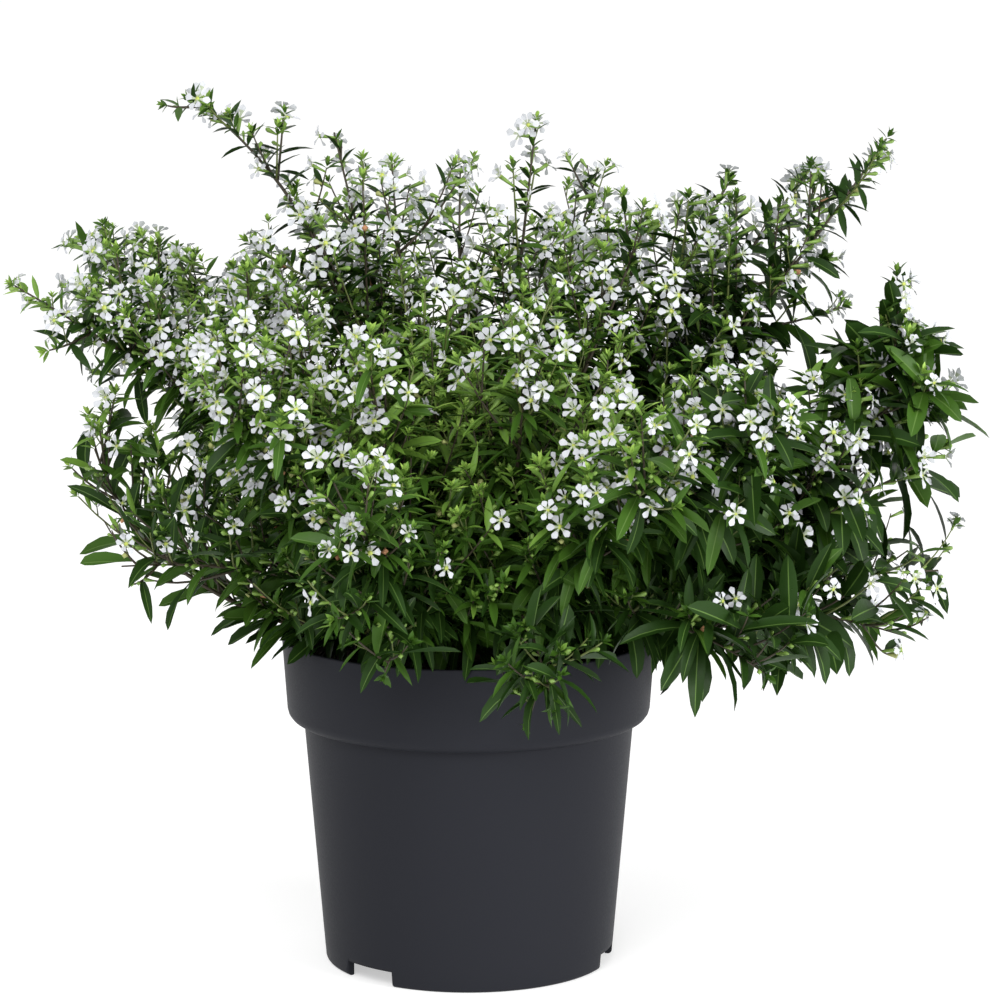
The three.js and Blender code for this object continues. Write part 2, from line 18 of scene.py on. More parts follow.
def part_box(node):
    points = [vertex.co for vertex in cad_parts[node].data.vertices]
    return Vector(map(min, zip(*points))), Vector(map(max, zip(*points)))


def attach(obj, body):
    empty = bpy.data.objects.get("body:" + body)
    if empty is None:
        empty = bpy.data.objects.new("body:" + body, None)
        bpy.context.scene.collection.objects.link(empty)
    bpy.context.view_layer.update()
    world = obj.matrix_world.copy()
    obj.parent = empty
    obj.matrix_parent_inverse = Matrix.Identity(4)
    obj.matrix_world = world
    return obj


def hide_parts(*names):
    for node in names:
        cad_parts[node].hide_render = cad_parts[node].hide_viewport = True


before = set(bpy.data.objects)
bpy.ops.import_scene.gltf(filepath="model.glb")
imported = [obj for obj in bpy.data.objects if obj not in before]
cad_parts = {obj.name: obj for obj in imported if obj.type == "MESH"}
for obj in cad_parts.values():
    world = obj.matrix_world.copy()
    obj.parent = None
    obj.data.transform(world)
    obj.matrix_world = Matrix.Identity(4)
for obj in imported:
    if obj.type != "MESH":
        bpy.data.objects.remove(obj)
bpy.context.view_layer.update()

_, pot_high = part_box("pot")
soil_low, soil_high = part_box("soil")

# %% [markdown]
# ## Camera and light
# The camera stands where the photographer stood: almost level with the top of the crown, looking
# a little down through a long lens. A long lens keeps the pot's sides nearly parallel.
# The plant is shown on white, so a white sky gives most of the light, even and soft. A large lamp
# on the right makes that side of the pot a little lighter, and one over the camera lights the
# leaves and flowers that look to the front.

# %% Camera
MM = 0.001
CAMERA_PLACE = (10.9 * MM, -1297.6 * MM, 368.6 * MM)
CAMERA_PITCH = 0.158
CAMERA_LENS = 136.65

camera_data = bpy.data.cameras.new("camera")
camera_data.lens = CAMERA_LENS
camera_data.sensor_width = 36.0
camera = bpy.data.objects.new("camera", camera_data)
camera.location = CAMERA_PLACE
camera.rotation_euler = (math.pi / 2 - CAMERA_PITCH, 0.0, 0.0)
bpy.context.collection.objects.link(camera)
bpy.context.scene.camera = camera
bpy.context.scene.view_settings.view_transform = "Standard"
print("camera", camera.location[:], "lens", CAMERA_LENS)

# %% Light
SKY_STRENGTH = 0.84
CROWN_MIDDLE = (0.0, 0.0, 0.19)


def make_lamp(name, place, size, power):
    """A soft round lamp that shines on the middle of the crown."""
    data = bpy.data.lights.new(name, "AREA")
    data.shape = "DISK"
    data.size = size
    data.energy = power
    lamp = bpy.data.objects.new(name, data)
    lamp.location = place
    lamp.rotation_euler = (Vector(CROWN_MIDDLE) - Vector(place)).to_track_quat("-Z", "Y").to_euler()
    bpy.context.collection.objects.link(lamp)


world = bpy.data.worlds.new("studio")
world.use_nodes = True
sky = world.node_tree.nodes["Background"]
sky.inputs["Color"].default_value = (1.0, 1.0, 1.0, 1.0)
sky.inputs["Strength"].default_value = SKY_STRENGTH
bpy.context.scene.world = world
make_lamp("lamp_right", (1.10, -0.80, 0.45), 0.7, 13.0)
make_lamp("lamp_front", (-0.3, -1.25, 1.2), 0.9, 15.0)
print("sky", SKY_STRENGTH)

# %% [markdown]
# ## Materials
# Living leaves have a soft, waxy shine that breaks up over fine veins, so every leaf material has a noise in
# its roughness and a low bump. The colours themselves are plain: old leaves are deep green, young ones
# yellow-green, and which leaf gets which is decided spray by spray further on, by chance and also as painted
# light and shade. A plain colour survives an export, where a pattern on thousands of small leaves would not.
# Petals are thin enough for light to pass through, so they get a faint glow in its place.

# %% A material with grain
def make_material(name, colour, roughness, grain, depth, specular=0.5, stretch=(1.0, 1.0, 1.0)):
    """A plain colour whose roughness and bump vary with a noise of the given grain per metre."""
    material = bpy.data.materials.new(name)
    material.use_nodes = True
    nodes = material.node_tree.nodes
    links = material.node_tree.links
    shader = nodes["Principled BSDF"]
    shader.inputs["Base Color"].default_value = (*colour, 1.0)
    shader.inputs["Specular IOR Level"].default_value = specular
    where = nodes.new("ShaderNodeTexCoord")
    mapping = nodes.new("ShaderNodeMapping")
    mapping.inputs["Scale"].default_value = stretch
    links.new(where.outputs["Object"], mapping.inputs["Vector"])
    pattern = nodes.new("ShaderNodeTexNoise")
    pattern.inputs["Scale"].default_value = grain
    pattern.inputs["Detail"].default_value = 3.0
    links.new(mapping.outputs["Vector"], pattern.inputs["Vector"])
    spread = nodes.new("ShaderNodeMapRange")
    spread.inputs["To Min"].default_value = roughness - 0.12
    spread.inputs["To Max"].default_value = roughness + 0.12
    links.new(pattern.outputs["Fac"], spread.inputs["Value"])
    links.new(spread.outputs["Result"], shader.inputs["Roughness"])
    bump = nodes.new("ShaderNodeBump")
    bump.inputs["Strength"].default_value = 0.5
    bump.inputs["Distance"].default_value = depth
    links.new(pattern.outputs["Fac"], bump.inputs["Height"])
    links.new(bump.outputs["Normal"], shader.inputs["Normal"])
    return material


def mottle(material, dark, light, grain):
    """Lets the colour wander between two shades with a second noise."""
    nodes = material.node_tree.nodes
    links = material.node_tree.links
    pattern = nodes.new("ShaderNodeTexNoise")
    pattern.inputs["Scale"].default_value = grain
    pattern.inputs["Detail"].default_value = 4.0
    links.new(nodes["Texture Coordinate"].outputs["Object"], pattern.inputs["Vector"])
    shades = nodes.new("ShaderNodeValToRGB")
    first, last = shades.color_ramp.elements
    first.position, first.color = 0.3, (*dark, 1.0)
    last.position, last.color = 0.7, (*light, 1.0)
    links.new(pattern.outputs["Fac"], shades.inputs["Fac"])
    links.new(shades.outputs["Color"], nodes["Principled BSDF"].inputs["Base Color"])


# %% The plant's colours
# Plain greens from deep to young. Further on they are dealt out by age and chance, and also as painted light
# and shade: deep green where the crown is shaded, lighter in its lit middle.
leaf_deep = make_material("leaf_deep", (0.0150, 0.0405, 0.0060), 0.40, 900, 0.00008, 0.12)
leaf_mid = make_material("leaf_mid", (0.038, 0.093, 0.010), 0.40, 900, 0.00008, 0.14)
leaf_fresh = make_material("leaf_fresh", (0.125, 0.235, 0.034), 0.42, 900, 0.00006, 0.18)
leaf_young = make_material("leaf_young", (0.290, 0.450, 0.085), 0.45, 900, 0.00005, 0.18)
leaf_rib = make_material("leaf_rib", (0.080, 0.150, 0.030), 0.45, 900, 0.00004, 0.2)
twig_green = make_material("twig_green", (0.110, 0.140, 0.035), 0.55, 700, 0.00006)
twig_brown = make_material("twig_brown", (0.040, 0.031, 0.016), 0.65, 700, 0.00008)
calyx_lime = make_material("calyx_lime", (0.170, 0.290, 0.050), 0.45, 1100, 0.00005)
throat_yellow = make_material("throat_yellow", (0.430, 0.500, 0.090), 0.55, 1100, 0.00004)
petal_white = make_material("petal_white", (0.500, 0.515, 0.540), 0.60, 1300, 0.00005, 0.2)
# Claw colour: partly the claws' own green and partly painted shade, darker than the petals near the throat.
claw_green_and_painted_shade = make_material("claw_green_and_painted_shade", (0.400, 0.450, 0.330), 0.65, 1300, 0.00005, 0.2)
capsule_pale = make_material("capsule_pale", (0.330, 0.360, 0.120), 0.55, 1100, 0.00005)
dry_tan = make_material("dry_tan", (0.450, 0.230, 0.120), 0.75, 1100, 0.00005, 0.2)


def let_glow(material, colour, strength):
    """Adds a light of its own to a material."""
    shader = material.node_tree.nodes["Principled BSDF"]
    shader.inputs["Emission Color"].default_value = (*colour, 1.0)
    shader.inputs["Emission Strength"].default_value = strength


let_glow(petal_white, (0.94, 0.95, 1.0), 0.10)
print("materials", len(bpy.data.materials))

# %% [markdown]
# ## The pot
# A nursery pot is one thin moulding: a tapering wall, a deeper collar with a rounded foot, and a
# low ring to stand on that is notched so that water can drain. A lathe is the natural way to make
# it. Half of the section is drawn as a chain of edges, its corners are rounded by a bevel on the
# vertices, and a spin turns it round the pot's axis. The notches are cut by a Boolean.

# %% The pot's section
POT_HEIGHT = pot_high.z
RIM_RADIUS = 65.0 * MM
COLLAR_FOOT_RADIUS = 62.9 * MM
BODY_TOP_RADIUS = 57.5 * MM
BASE_RADIUS = 50.2 * MM
WALL = 1.6 * MM
FLOOR_HEIGHT = 5.5 * MM
FOOT_WALL = 2.4 * MM
CENTRE_FOOT_RADIUS = 14.0 * MM
LIP_HEIGHT = POT_HEIGHT - 29.4 * MM
NOTCH_BAND = 7.0 * MM
POT_STEPS = 144

POT_SECTION = [
    (0.0, 0.0, 0.0),
    (CENTRE_FOOT_RADIUS, 0.0, 0.4 * MM),
    (CENTRE_FOOT_RADIUS + 1.0 * MM, FLOOR_HEIGHT, 0.8 * MM),
    (BASE_RADIUS - FOOT_WALL, FLOOR_HEIGHT, 0.6 * MM),
    (BASE_RADIUS - FOOT_WALL, 0.0, 0.4 * MM),
    (BASE_RADIUS, 0.0, 1.3 * MM),
    (BASE_RADIUS + NOTCH_BAND * (BODY_TOP_RADIUS - BASE_RADIUS) / LIP_HEIGHT, NOTCH_BAND, 0.0),
    (BODY_TOP_RADIUS, LIP_HEIGHT, 0.5 * MM),
    (COLLAR_FOOT_RADIUS, LIP_HEIGHT, 4.0 * MM),
    (RIM_RADIUS, POT_HEIGHT, 0.5 * MM),
    (RIM_RADIUS - WALL, POT_HEIGHT, 0.5 * MM),
    (COLLAR_FOOT_RADIUS - WALL, LIP_HEIGHT + 2.0 * WALL, 2.0 * MM),
    (BODY_TOP_RADIUS - WALL, LIP_HEIGHT + WALL, 1.0 * MM),
    (BASE_RADIUS - WALL, FLOOR_HEIGHT + WALL, 2.0 * MM),
    (0.0, FLOOR_HEIGHT + WALL, 0.0),
]
print("pot height", round(POT_HEIGHT, 4), "corners in its section", len(POT_SECTION))

# %% Turning a section
def turned(section, steps):
    """A closed shape turned about +Z from rows of radius, height and the rounding of that corner."""
    bm = bmesh.new()
    chain = [bm.verts.new((radius, 0.0, height)) for radius, height, _ in section]
    for first, second in zip(chain, chain[1:]):
        bm.edges.new((first, second))
    for corner, (_, _, rounding) in zip(chain, section):
        if rounding > 0.0:
            bmesh.ops.bevel(bm, geom=[corner], offset=rounding, segments=4, profile=0.5,
                            affect="VERTICES", material=-1, clamp_overlap=True)
    bmesh.ops.spin(bm, geom=bm.verts[:] + bm.edges[:], cent=(0, 0, 0), axis=(0, 0, 1),
                   angle=2 * math.pi, steps=steps, use_merge=True)
    bmesh.ops.remove_doubles(bm, verts=bm.verts, dist=0.00001)
    bmesh.ops.recalc_face_normals(bm, faces=bm.faces)
    return bm


def piece_of(bm, name, materials, smooth_under=None):
    """A new object at the origin from a finished bmesh."""
    mesh = bpy.data.meshes.new(name)
    bm.to_mesh(mesh)
    bm.free()
    for material in materials:
        mesh.materials.append(material)
    if smooth_under is not None:
        mesh.shade_smooth()
        mesh.set_sharp_from_angle(angle=math.radians(smooth_under))
    piece = bpy.data.objects.new(name, mesh)
    bpy.context.collection.objects.link(piece)
    return piece


# %% Notches in the foot
NOTCH_SIZE = (12.0 * MM, 21.0 * MM, 11.0 * MM)
NOTCH_AZIMUTHS = (-133, -13, 107)
DRAIN_RADIUS = 4.0 * MM
DRAIN_CIRCLE = 31.0 * MM


def foot_cutters():
    """Boxes for the notches and short rods for the drain holes, in one mesh."""
    bm = bmesh.new()
    for azimuth in NOTCH_AZIMUTHS:
        turn = Matrix.Rotation(math.radians(azimuth), 4, "Z")
        box = bmesh.ops.create_cube(bm, size=1.0)["verts"]
        bmesh.ops.scale(bm, vec=NOTCH_SIZE, verts=box)
        bmesh.ops.translate(bm, vec=(BASE_RADIUS, 0, 0), verts=box)
        bmesh.ops.transform(bm, matrix=turn, verts=box)
    for quarter in range(4):
        turn = Matrix.Rotation(math.radians(90 * quarter), 4, "Z")
        rod = bmesh.ops.create_cone(bm, cap_ends=True, segments=24, radius1=DRAIN_RADIUS,
                                    radius2=DRAIN_RADIUS, depth=4 * WALL)["verts"]
        bmesh.ops.translate(bm, vec=(DRAIN_CIRCLE, 0, FLOOR_HEIGHT + WALL / 2), verts=rod)
        bmesh.ops.transform(bm, matrix=turn, verts=rod)
    return piece_of(bm, "foot_cutters", [])


def cut_by(piece, cutter):
    """Applies a Boolean difference and removes the cutter."""
    modifier = piece.modifiers.new("cut", "BOOLEAN")
    modifier.operation = "DIFFERENCE"
    modifier.object = cutter
    seen = piece.evaluated_get(bpy.context.evaluated_depsgraph_get())
    finished = bpy.data.meshes.new_from_object(seen)
    piece.modifiers.clear()
    piece.data = finished
    bpy.data.objects.remove(cutter)


pot_plastic = make_material("pot_plastic", (0.0175, 0.0184, 0.0230), 0.50, 1500, 0.00003, 0.06)
pot = piece_of(turned(POT_SECTION, POT_STEPS), "nursery_pot", [pot_plastic], 30)
cut_by(pot, foot_cutters())
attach(pot, "root")
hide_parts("pot")
print("pot faces", len(pot.data.polygons))

# %% [markdown]
# ## The soil
# Potting soil is dark, fibrous and crumbly. One turned body fills the pot, its top is pushed about
# by a noise, and hundreds of small crumbs lie on it. Bumps in a material alone would leave the
# edge against the pot too straight.

# %% Potting soil
SOIL_LEVEL = soil_high.z
SOIL_RADIUS = soil_high.x
CRUMB_COUNT = 700
CRUMB_SEED = 901

soil_brown = make_material("soil_brown", (0.020, 0.013, 0.009), 0.90, 1800, 0.00040, 0.15)
mottle(soil_brown, (0.006, 0.004, 0.003), (0.050, 0.034, 0.024), 420)
print("soil level", round(SOIL_LEVEL, 4), "radius", round(SOIL_RADIUS, 4))

# %% Dice
def dice(seed):
    """A seeded row of even draws from 0 to 1, the same row as in the part's source."""
    state = (seed * 7919 + 104729) % 2147483647

    def draw():
        nonlocal state
        state = state * 48271 % 2147483647
        return state / 2147483647

    draw()
    draw()
    return draw


def mix(a, b, t):
    return a + (b - a) * t


# %% A rough filling
def soil_mesh():
    """The filling, with a rough top and crumbs pressed into it."""
    inner = 0.5 * MM
    section = [
        (0.0, soil_low.z, 0.0),
        (BASE_RADIUS - WALL - inner, soil_low.z, 1.0 * MM),
        (BODY_TOP_RADIUS - WALL - inner, LIP_HEIGHT + WALL, 1.0 * MM),
        (COLLAR_FOOT_RADIUS - WALL - inner, LIP_HEIGHT + 4.0 * WALL, 1.0 * MM),
        (SOIL_RADIUS, SOIL_LEVEL - 2.5 * MM, 1.0 * MM),
    ]
    rings = 14
    section += [(SOIL_RADIUS * (1 - k / rings), SOIL_LEVEL - 1.0 * MM, 0.0) for k in range(1, rings + 1)]
    bm = turned(section, 72)
    for vert in bm.verts:
        if vert.co.z > SOIL_LEVEL - 2.0 * MM:
            vert.co.z += 1.6 * MM * noise.noise(vert.co * 160.0) + 0.8 * MM * noise.noise(vert.co * 420.0)
            vert.co.z = min(vert.co.z, SOIL_LEVEL + 0.5 * MM)
    draw = dice(CRUMB_SEED)
    for _ in range(CRUMB_COUNT):
        reach = SOIL_RADIUS * math.sqrt(draw()) * 0.97
        angle = 2 * math.pi * draw()
        size = mix(0.7, 2.2, draw() ** 2) * MM
        place = Matrix.Translation((reach * math.cos(angle), reach * math.sin(angle), SOIL_LEVEL - 0.4 * MM))
        turn = Matrix.Rotation(6.0 * draw(), 4, Vector((draw(), draw(), 0.5)))
        flat = Matrix.Diagonal((1.0, mix(0.5, 1.0, draw()), mix(0.4, 0.9, draw()), 1.0))
        bmesh.ops.create_icosphere(bm, subdivisions=1, radius=size, matrix=place @ turn @ flat)
    return bm


soil = piece_of(soil_mesh(), "potting_soil", [soil_brown], 40)
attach(soil, "root")
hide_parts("soil")
print("soil faces", len(soil.data.polygons))

# %% [markdown]
# ## How the plant grows
# False heather sends up many wiry shoots from one short woody stem. Each shoot is drawn as a curve
# of three points: its root at the stem, a knee that it bends towards, and its tip. The table holds
# the leading shoots. Where they leave the stem is worked out: flat ones low, steep ones high, and
# any two that come too close are pushed apart over the bark.

# %% Curves
def unit(vectors):
    vectors = np.asarray(vectors, float)
    return vectors / np.linalg.norm(vectors, axis=-1, keepdims=True)


def on_curve(curve, t):
    root, knee, tip = curve
    t = np.asarray(t, float)[..., None]
    return (1 - t) ** 2 * root + 2 * t * (1 - t) * knee + t * t * tip


def along_curve(curve, t):
    """The direction of the curve at t."""
    root, knee, tip = curve
    t = np.asarray(t, float)[..., None]
    return unit((1 - t) * (knee - root) + t * (tip - knee))


def side_of(curve):
    """A direction square to the plane that the curve bends in."""
    root, knee, tip = curve
    side = np.cross(knee - root, tip - root)
    if np.linalg.norm(side) < 1e-6:
        side = np.cross((0.3, 1.0, 0.1), tip - root)
    return unit(side)


def length_of(curve):
    points = on_curve(curve, np.linspace(0, 1, 201))
    return np.linalg.norm(np.diff(points, axis=0), axis=1).sum()


def on_circle(azimuth, reach, height):
    angle = math.radians(azimuth)
    return np.array((math.cos(angle) * reach, math.sin(angle) * reach, height))


# %% The leading shoots
# Name, azimuth, then reach from the axis and height over the soil, at the knee and at the tip
LEADERS = [
    ("left_arch_high", 172, 50, 174, 104, 197),
    ("left_arch_far", 196, 95, 98, 160, 137),
    ("left_upper", 170, 84, 122, 146, 144),
    ("left_rise", 196, 126, 14, 135, 102),
    ("top_left", 137, 42, 112, 67, 186),
    ("top_left_mid", 195, 24, 108, 27, 178),
    ("top_back", 93, 35, 110, 60, 170),
    ("top_centre", 34, 20, 112, 29, 192),
    ("top_right_mid", 52, 44, 112, 76, 170),
    ("top_right", 351, 42, 102, 63, 157),
    ("right_upper", 15, 61, 108, 96, 168),
    ("right_tall", 26, 87, 110, 137, 169),
    ("right_arch_high", 4, 100, 112, 148, 186),
    ("right_rise", 350, 160, 38, 146, 142),
    ("front_right", 313, 88, 48, 136, 90),
    ("front_right_mid", 295, 88, 42, 138, 84),
    ("front_centre", 282, 61, 58, 88, 119),
    ("front_left", 252, 62, 58, 100, 116),
    ("front_left_low", 256, 80, 30, 134, 70),
    ("front_left_out", 234, 78, 50, 135, 107),
    ("back_low_right", 48, 96, 34, 140, 74),
    ("back_high_right", 68, 74, 84, 116, 134),
    ("back_low", 90, 92, 36, 138, 80),
    ("back_high_left", 112, 76, 86, 112, 142),
    ("back_low_left", 136, 96, 32, 142, 72),
    ("left_low", 214, 80, 46, 136, 46),
    ("right_low", 6, 108, 30, 166, 28),
    ("right_skirt", 344, 96, 34, 154, 16),
    ("front_right_low", 316, 80, 40, 134, 14),
    ("front_low", 286, 64, 50, 102, 4),
    ("front_skirt", 254, 56, 40, 96, 14),
]
FIRST_STEMLESS = 25
print("leading shoots", len(LEADERS))

# %% The stem
GAP = 0.3 * MM
STEM_HEIGHT = 30 * MM
STEM_FOOT = SOIL_LEVEL + GAP
STEM_RADIUS = 5 * MM


def stem_radius(height):
    flare = 3.2 * MM * math.exp(-height / (4 * MM))
    return mix(STEM_RADIUS, 3.4 * MM, height / STEM_HEIGHT) + flare


def stem_middle(height):
    return np.array((1.5 * MM * height / STEM_HEIGHT, 0.0, STEM_FOOT + height))


print("stem radius at the foot", round(stem_radius(0), 4), "at the top", round(stem_radius(STEM_HEIGHT), 4))

# %% Roots over the bark
SPRING_LOWEST = 4.5 * MM
SPRING_HIGHEST = 28 * MM
SPRING_APART = 4.2 * MM
SPRING_PASSES = 80


def push_apart(a, b):
    """Moves two springs, each an azimuth and a height, away from each other over the bark."""
    turn = (b[0] - a[0] + 900) % 360 - 180
    across = math.radians(turn) * STEM_RADIUS
    up = b[1] - a[1]
    apart = math.hypot(across, up)
    if apart >= SPRING_APART:
        return
    push = (SPRING_APART - apart) / apart / 2
    swing = math.degrees(across * push / STEM_RADIUS)
    a[0] -= swing
    b[0] += swing
    a[1] = min(max(a[1] - up * push, SPRING_LOWEST), SPRING_HIGHEST)
    b[1] = min(max(b[1] + up * push, SPRING_LOWEST), SPRING_HIGHEST)


# %% Curves of the leaders
BOUGH_ROOT_RADIUS = 1.45 * MM
BOUGH_TIP_RADIUS = 1.0 * MM
BOUGH_SHARE = 0.34
STEMLESS_ROOT_RADIUS = 1.05 * MM
SWAY = 7
STEEPEST_LIFT = 76


def make_leaders():
    leaders = []
    for index, (name, azimuth, knee_reach, knee_height, reach, height) in enumerate(LEADERS):
        draw = dice(index + 1)
        knee = on_circle(azimuth + SWAY * (2 * draw() - 1), knee_reach * MM, SOIL_LEVEL + knee_height * MM)
        tip = on_circle(azimuth, reach * MM, SOIL_LEVEL + height * MM)
        lift = math.degrees(math.atan2(knee_height - 15, knee_reach))
        steep = min(max(lift / STEEPEST_LIFT, 0), 1)
        spring = [azimuth, mix(SPRING_LOWEST, SPRING_HIGHEST, steep)]
        share = BOUGH_SHARE if index < FIRST_STEMLESS else 0.0
        leaders.append(dict(name=name, index=index, knee=knee, tip=tip, lift=max(lift, 0),
                            spring=spring, share=share))
    for _ in range(SPRING_PASSES):
        for i, a in enumerate(leaders):
            for b in leaders[i + 1:]:
                push_apart(a["spring"], b["spring"])
    for leader in leaders:
        azimuth, height = leader["spring"]
        lift = math.radians(leader["lift"])
        thickness = BOUGH_ROOT_RADIUS if leader["share"] else STEMLESS_ROOT_RADIUS
        bark = stem_radius(height - thickness * math.cos(lift))
        root = on_circle(azimuth, bark + GAP + thickness * math.sin(lift), 0.0) + stem_middle(height)
        leader["curve"] = np.array((root, leader["knee"], leader["tip"]))
        leader["length"] = length_of(leader["curve"])
    return leaders


leaders = make_leaders()
mass_paths = np.array([on_curve(l["curve"], np.linspace(l["share"], 1, 13)) for l in leaders])
bough_paths = np.array([on_curve(l["curve"], np.linspace(0, l["share"], 11)) for l in leaders if l["share"]])
print("leaders", len(leaders), "first root", leaders[0]["curve"][0])

# %% [markdown]
# ## Room to grow
# A mass of foliage keeps to the space that lies nearest to its own leading shoot. That stops the
# shoots of one mass from running through the next, and keeps the crown's gaps where they are on
# the real plant. A shoot is tried at full length, then shorter, and is left out if it never fits.
# The crown is ragged: some shoots arch far out and leave sky between them. So the finer growth also
# keeps inside an outline, which is the edge of the real plant as the camera sees it.

# %% Space
SPACE_MARGIN = 1.6 * MM
LIMB_MARGIN = 1.0 * MM
RIM_MARGIN = 2.0 * MM
SIDE_OVERREACH = 5.0 * MM


def gaps_to(points, paths):
    """The distance from each point to each path of straight pieces."""
    start = paths[:, :-1]
    step = np.diff(paths, axis=1)
    offset = points[:, None, None] - start
    share = np.clip((offset * step).sum(-1) / (step * step).sum(-1), 0, 1)
    return np.linalg.norm(offset - share[..., None] * step, axis=-1).min(axis=2)


def in_own_space(points, index):
    gaps = gaps_to(points, mass_paths)
    own = gaps[:, index] + SPACE_MARGIN
    gaps[:, index] = np.inf
    return bool((gaps.min(axis=1) > own).all())


def clear_of_pot(points):
    """True where the points are over the rim, outside the pot, or inside it above the soil."""
    reach = np.hypot(points[:, 0], points[:, 1])
    over = points[:, 2] > POT_HEIGHT + RIM_MARGIN
    outside = reach > RIM_RADIUS + RIM_MARGIN
    inside = (reach < COLLAR_FOOT_RADIUS - 2 * WALL) & (points[:, 2] > SOIL_LEVEL + LIMB_MARGIN)
    return over | outside | inside


def clear_of_limbs(points):
    if (gaps_to(points, bough_paths) < BOUGH_ROOT_RADIUS + LIMB_MARGIN).any():
        return False
    for x, y, z in points:
        height = z - SOIL_LEVEL
        near = math.hypot(x, y) < stem_radius(max(height, 0)) + 3 * MM
        if near and height < STEM_HEIGHT + RIM_MARGIN:
            return False
    return bool(clear_of_pot(points).all())


def within_crown(tip, leader, overreach=SIDE_OVERREACH):
    reach = math.hypot(tip[0], tip[1])
    furthest = math.hypot(leader["tip"][0], leader["tip"][1]) + overreach
    return reach < furthest and tip[2] < leader["tip"][2] + overreach


# %% The outline from the front
# Millimetres to the right of the pot's axis and over its foot, clockwise from the far left tip
OUTLINE = MM * np.array([
    (-161, 242), (-139, 238), (-143, 252), (-133, 256), (-124, 261), (-102, 254), (-68, 256), (-70, 268),
    (-79, 279), (-103, 298), (-102, 306), (-89, 303), (-74, 297), (-61, 299), (-45, 294), (-42, 283),
    (-25, 284), (-4, 281), (11, 288), (18, 300), (27, 298), (31, 282), (44, 283), (56, 275), (63, 263),
    (71, 266), (79, 273), (89, 277), (100, 271), (113, 279), (129, 286), (140, 293), (149, 292),
    (137, 269), (138, 252), (127, 245), (130, 217), (139, 222), (143, 247), (151, 246), (154, 229),
    (168, 218), (167, 202), (183, 192), (182, 172), (171, 166), (172, 150), (165, 140), (165, 125),
    (158, 107), (133, 106), (99, 96), (83, 96), (65, 94), (46, 92), (38, 73), (21, 82), (0, 83),
    (-14, 94), (-31, 101), (-64, 102), (-95, 105), (-112, 109), (-127, 125), (-131, 142), (-125, 154),
    (-141, 170), (-140, 181), (-129, 186), (-139, 197), (-135, 208), (-151, 225), (-161, 235),
])


def within_outline(points):
    """Whether the camera sees each point inside the outline, which stands upright on the pot's axis."""
    share = CAMERA_PLACE[1] / (CAMERA_PLACE[1] - points[:, 1])
    seen_x = CAMERA_PLACE[0] + (points[:, 0] - CAMERA_PLACE[0]) * share
    seen_z = CAMERA_PLACE[2] + (points[:, 2] - CAMERA_PLACE[2]) * share
    first = OUTLINE[:, :, None]
    second = np.roll(OUTLINE, -1, axis=0)[:, :, None]
    crosses = (first[:, 1] > seen_z) != (second[:, 1] > seen_z)
    rise = np.where(crosses, second[:, 1] - first[:, 1], 1)
    side = first[:, 0] + (seen_z - first[:, 1]) * (second[:, 0] - first[:, 0]) / rise
    return (crosses & (seen_x < side)).sum(axis=0) % 2 == 1


# %% The set of a side shoot
UPTURN = 0.22


def upturned(root, direction, length):
    """A shoot that leaves its root in a direction and turns upwards."""
    knee = root + direction * 0.55 * length
    tip = root + direction * 0.92 * length + np.array((0, 0, UPTURN * length))
    return np.array((root, knee, tip))


def opened(curve, t, opening, turn):
    """A direction that leaves the curve at t by an opening angle, turned round it."""
    along = along_curve(curve, t)
    side = side_of(curve)
    across = np.cross(side, along)
    sideways = side * math.cos(turn) + across * math.sin(turn)
    return along * math.cos(opening) + sideways * math.sin(opening)


# %% Side shoots by the source's rule
SIDE_SPACING = 28 * MM
SIDE_REACH = 62 * MM
SIDE_SHORTEST = 16 * MM
SIDE_TRIES = (1, 0.8, 0.6, 0.45)
GOLDEN_ANGLE = 137.5


def side_shoots(leader):
    draw = dice(1000 + leader["index"])
    count = max(3, round((1 - leader["share"]) * leader["length"] / SIDE_SPACING))
    shoots = []
    for k in range(count):
        place = (k + 0.35 + 0.3 * draw()) / count
        t = mix(leader["share"], 1, place * 0.94 + 0.02)
        turn = math.radians(k * GOLDEN_ANGLE + 360 * draw())
        opening = math.radians(mix(38, 62, draw()))
        direction = opened(leader["curve"], t, opening, turn)
        full = SIDE_REACH * (1 - 0.7 * place) * mix(0.75, 1.2, draw())
        root = on_curve(leader["curve"], t)
        for length in (full * share for share in SIDE_TRIES):
            if length < SIDE_SHORTEST:
                break
            curve = upturned(root, direction, length)
            inner = on_curve(curve, np.linspace(0.12, 1, 9))
            if not within_crown(curve[2], leader):
                continue
            if clear_of_limbs(inner) and in_own_space(inner, leader["index"]):
                shoots.append(dict(curve=curve, start=0.0, end=1.0, length=length, rank=1,
                                   leader=leader["index"], seed=100 * leader["index"] + k))
                break
    return shoots


# %% Leaders and their side shoots
TUFT_ROOM = np.array((0.0, 0.0, 4 * MM))


def trimmed(curve):
    """The share of a curve where it first leaves the outline, less the room its last leaves need, or 1."""
    shares = np.linspace(0.5, 1, 51)
    outside = ~within_outline(on_curve(curve, shares) + TUFT_ROOM)
    return float(shares[outside.argmax()]) - 0.02 if outside.any() else 1.0


shoots = []
for leader in leaders:
    start = leader["share"]
    end = trimmed(leader["curve"])
    shoots.append(dict(curve=leader["curve"], start=start, end=end, length=leader["length"] * (end - start),
                       rank=0, leader=leader["index"], seed=leader["index"]))
    for shoot in side_shoots(leader):
        shoot["end"] = trimmed(shoot["curve"])
        shoot["length"] *= shoot["end"]
        shoots.append(shoot)
print("leaders and side shoots", len(shoots))

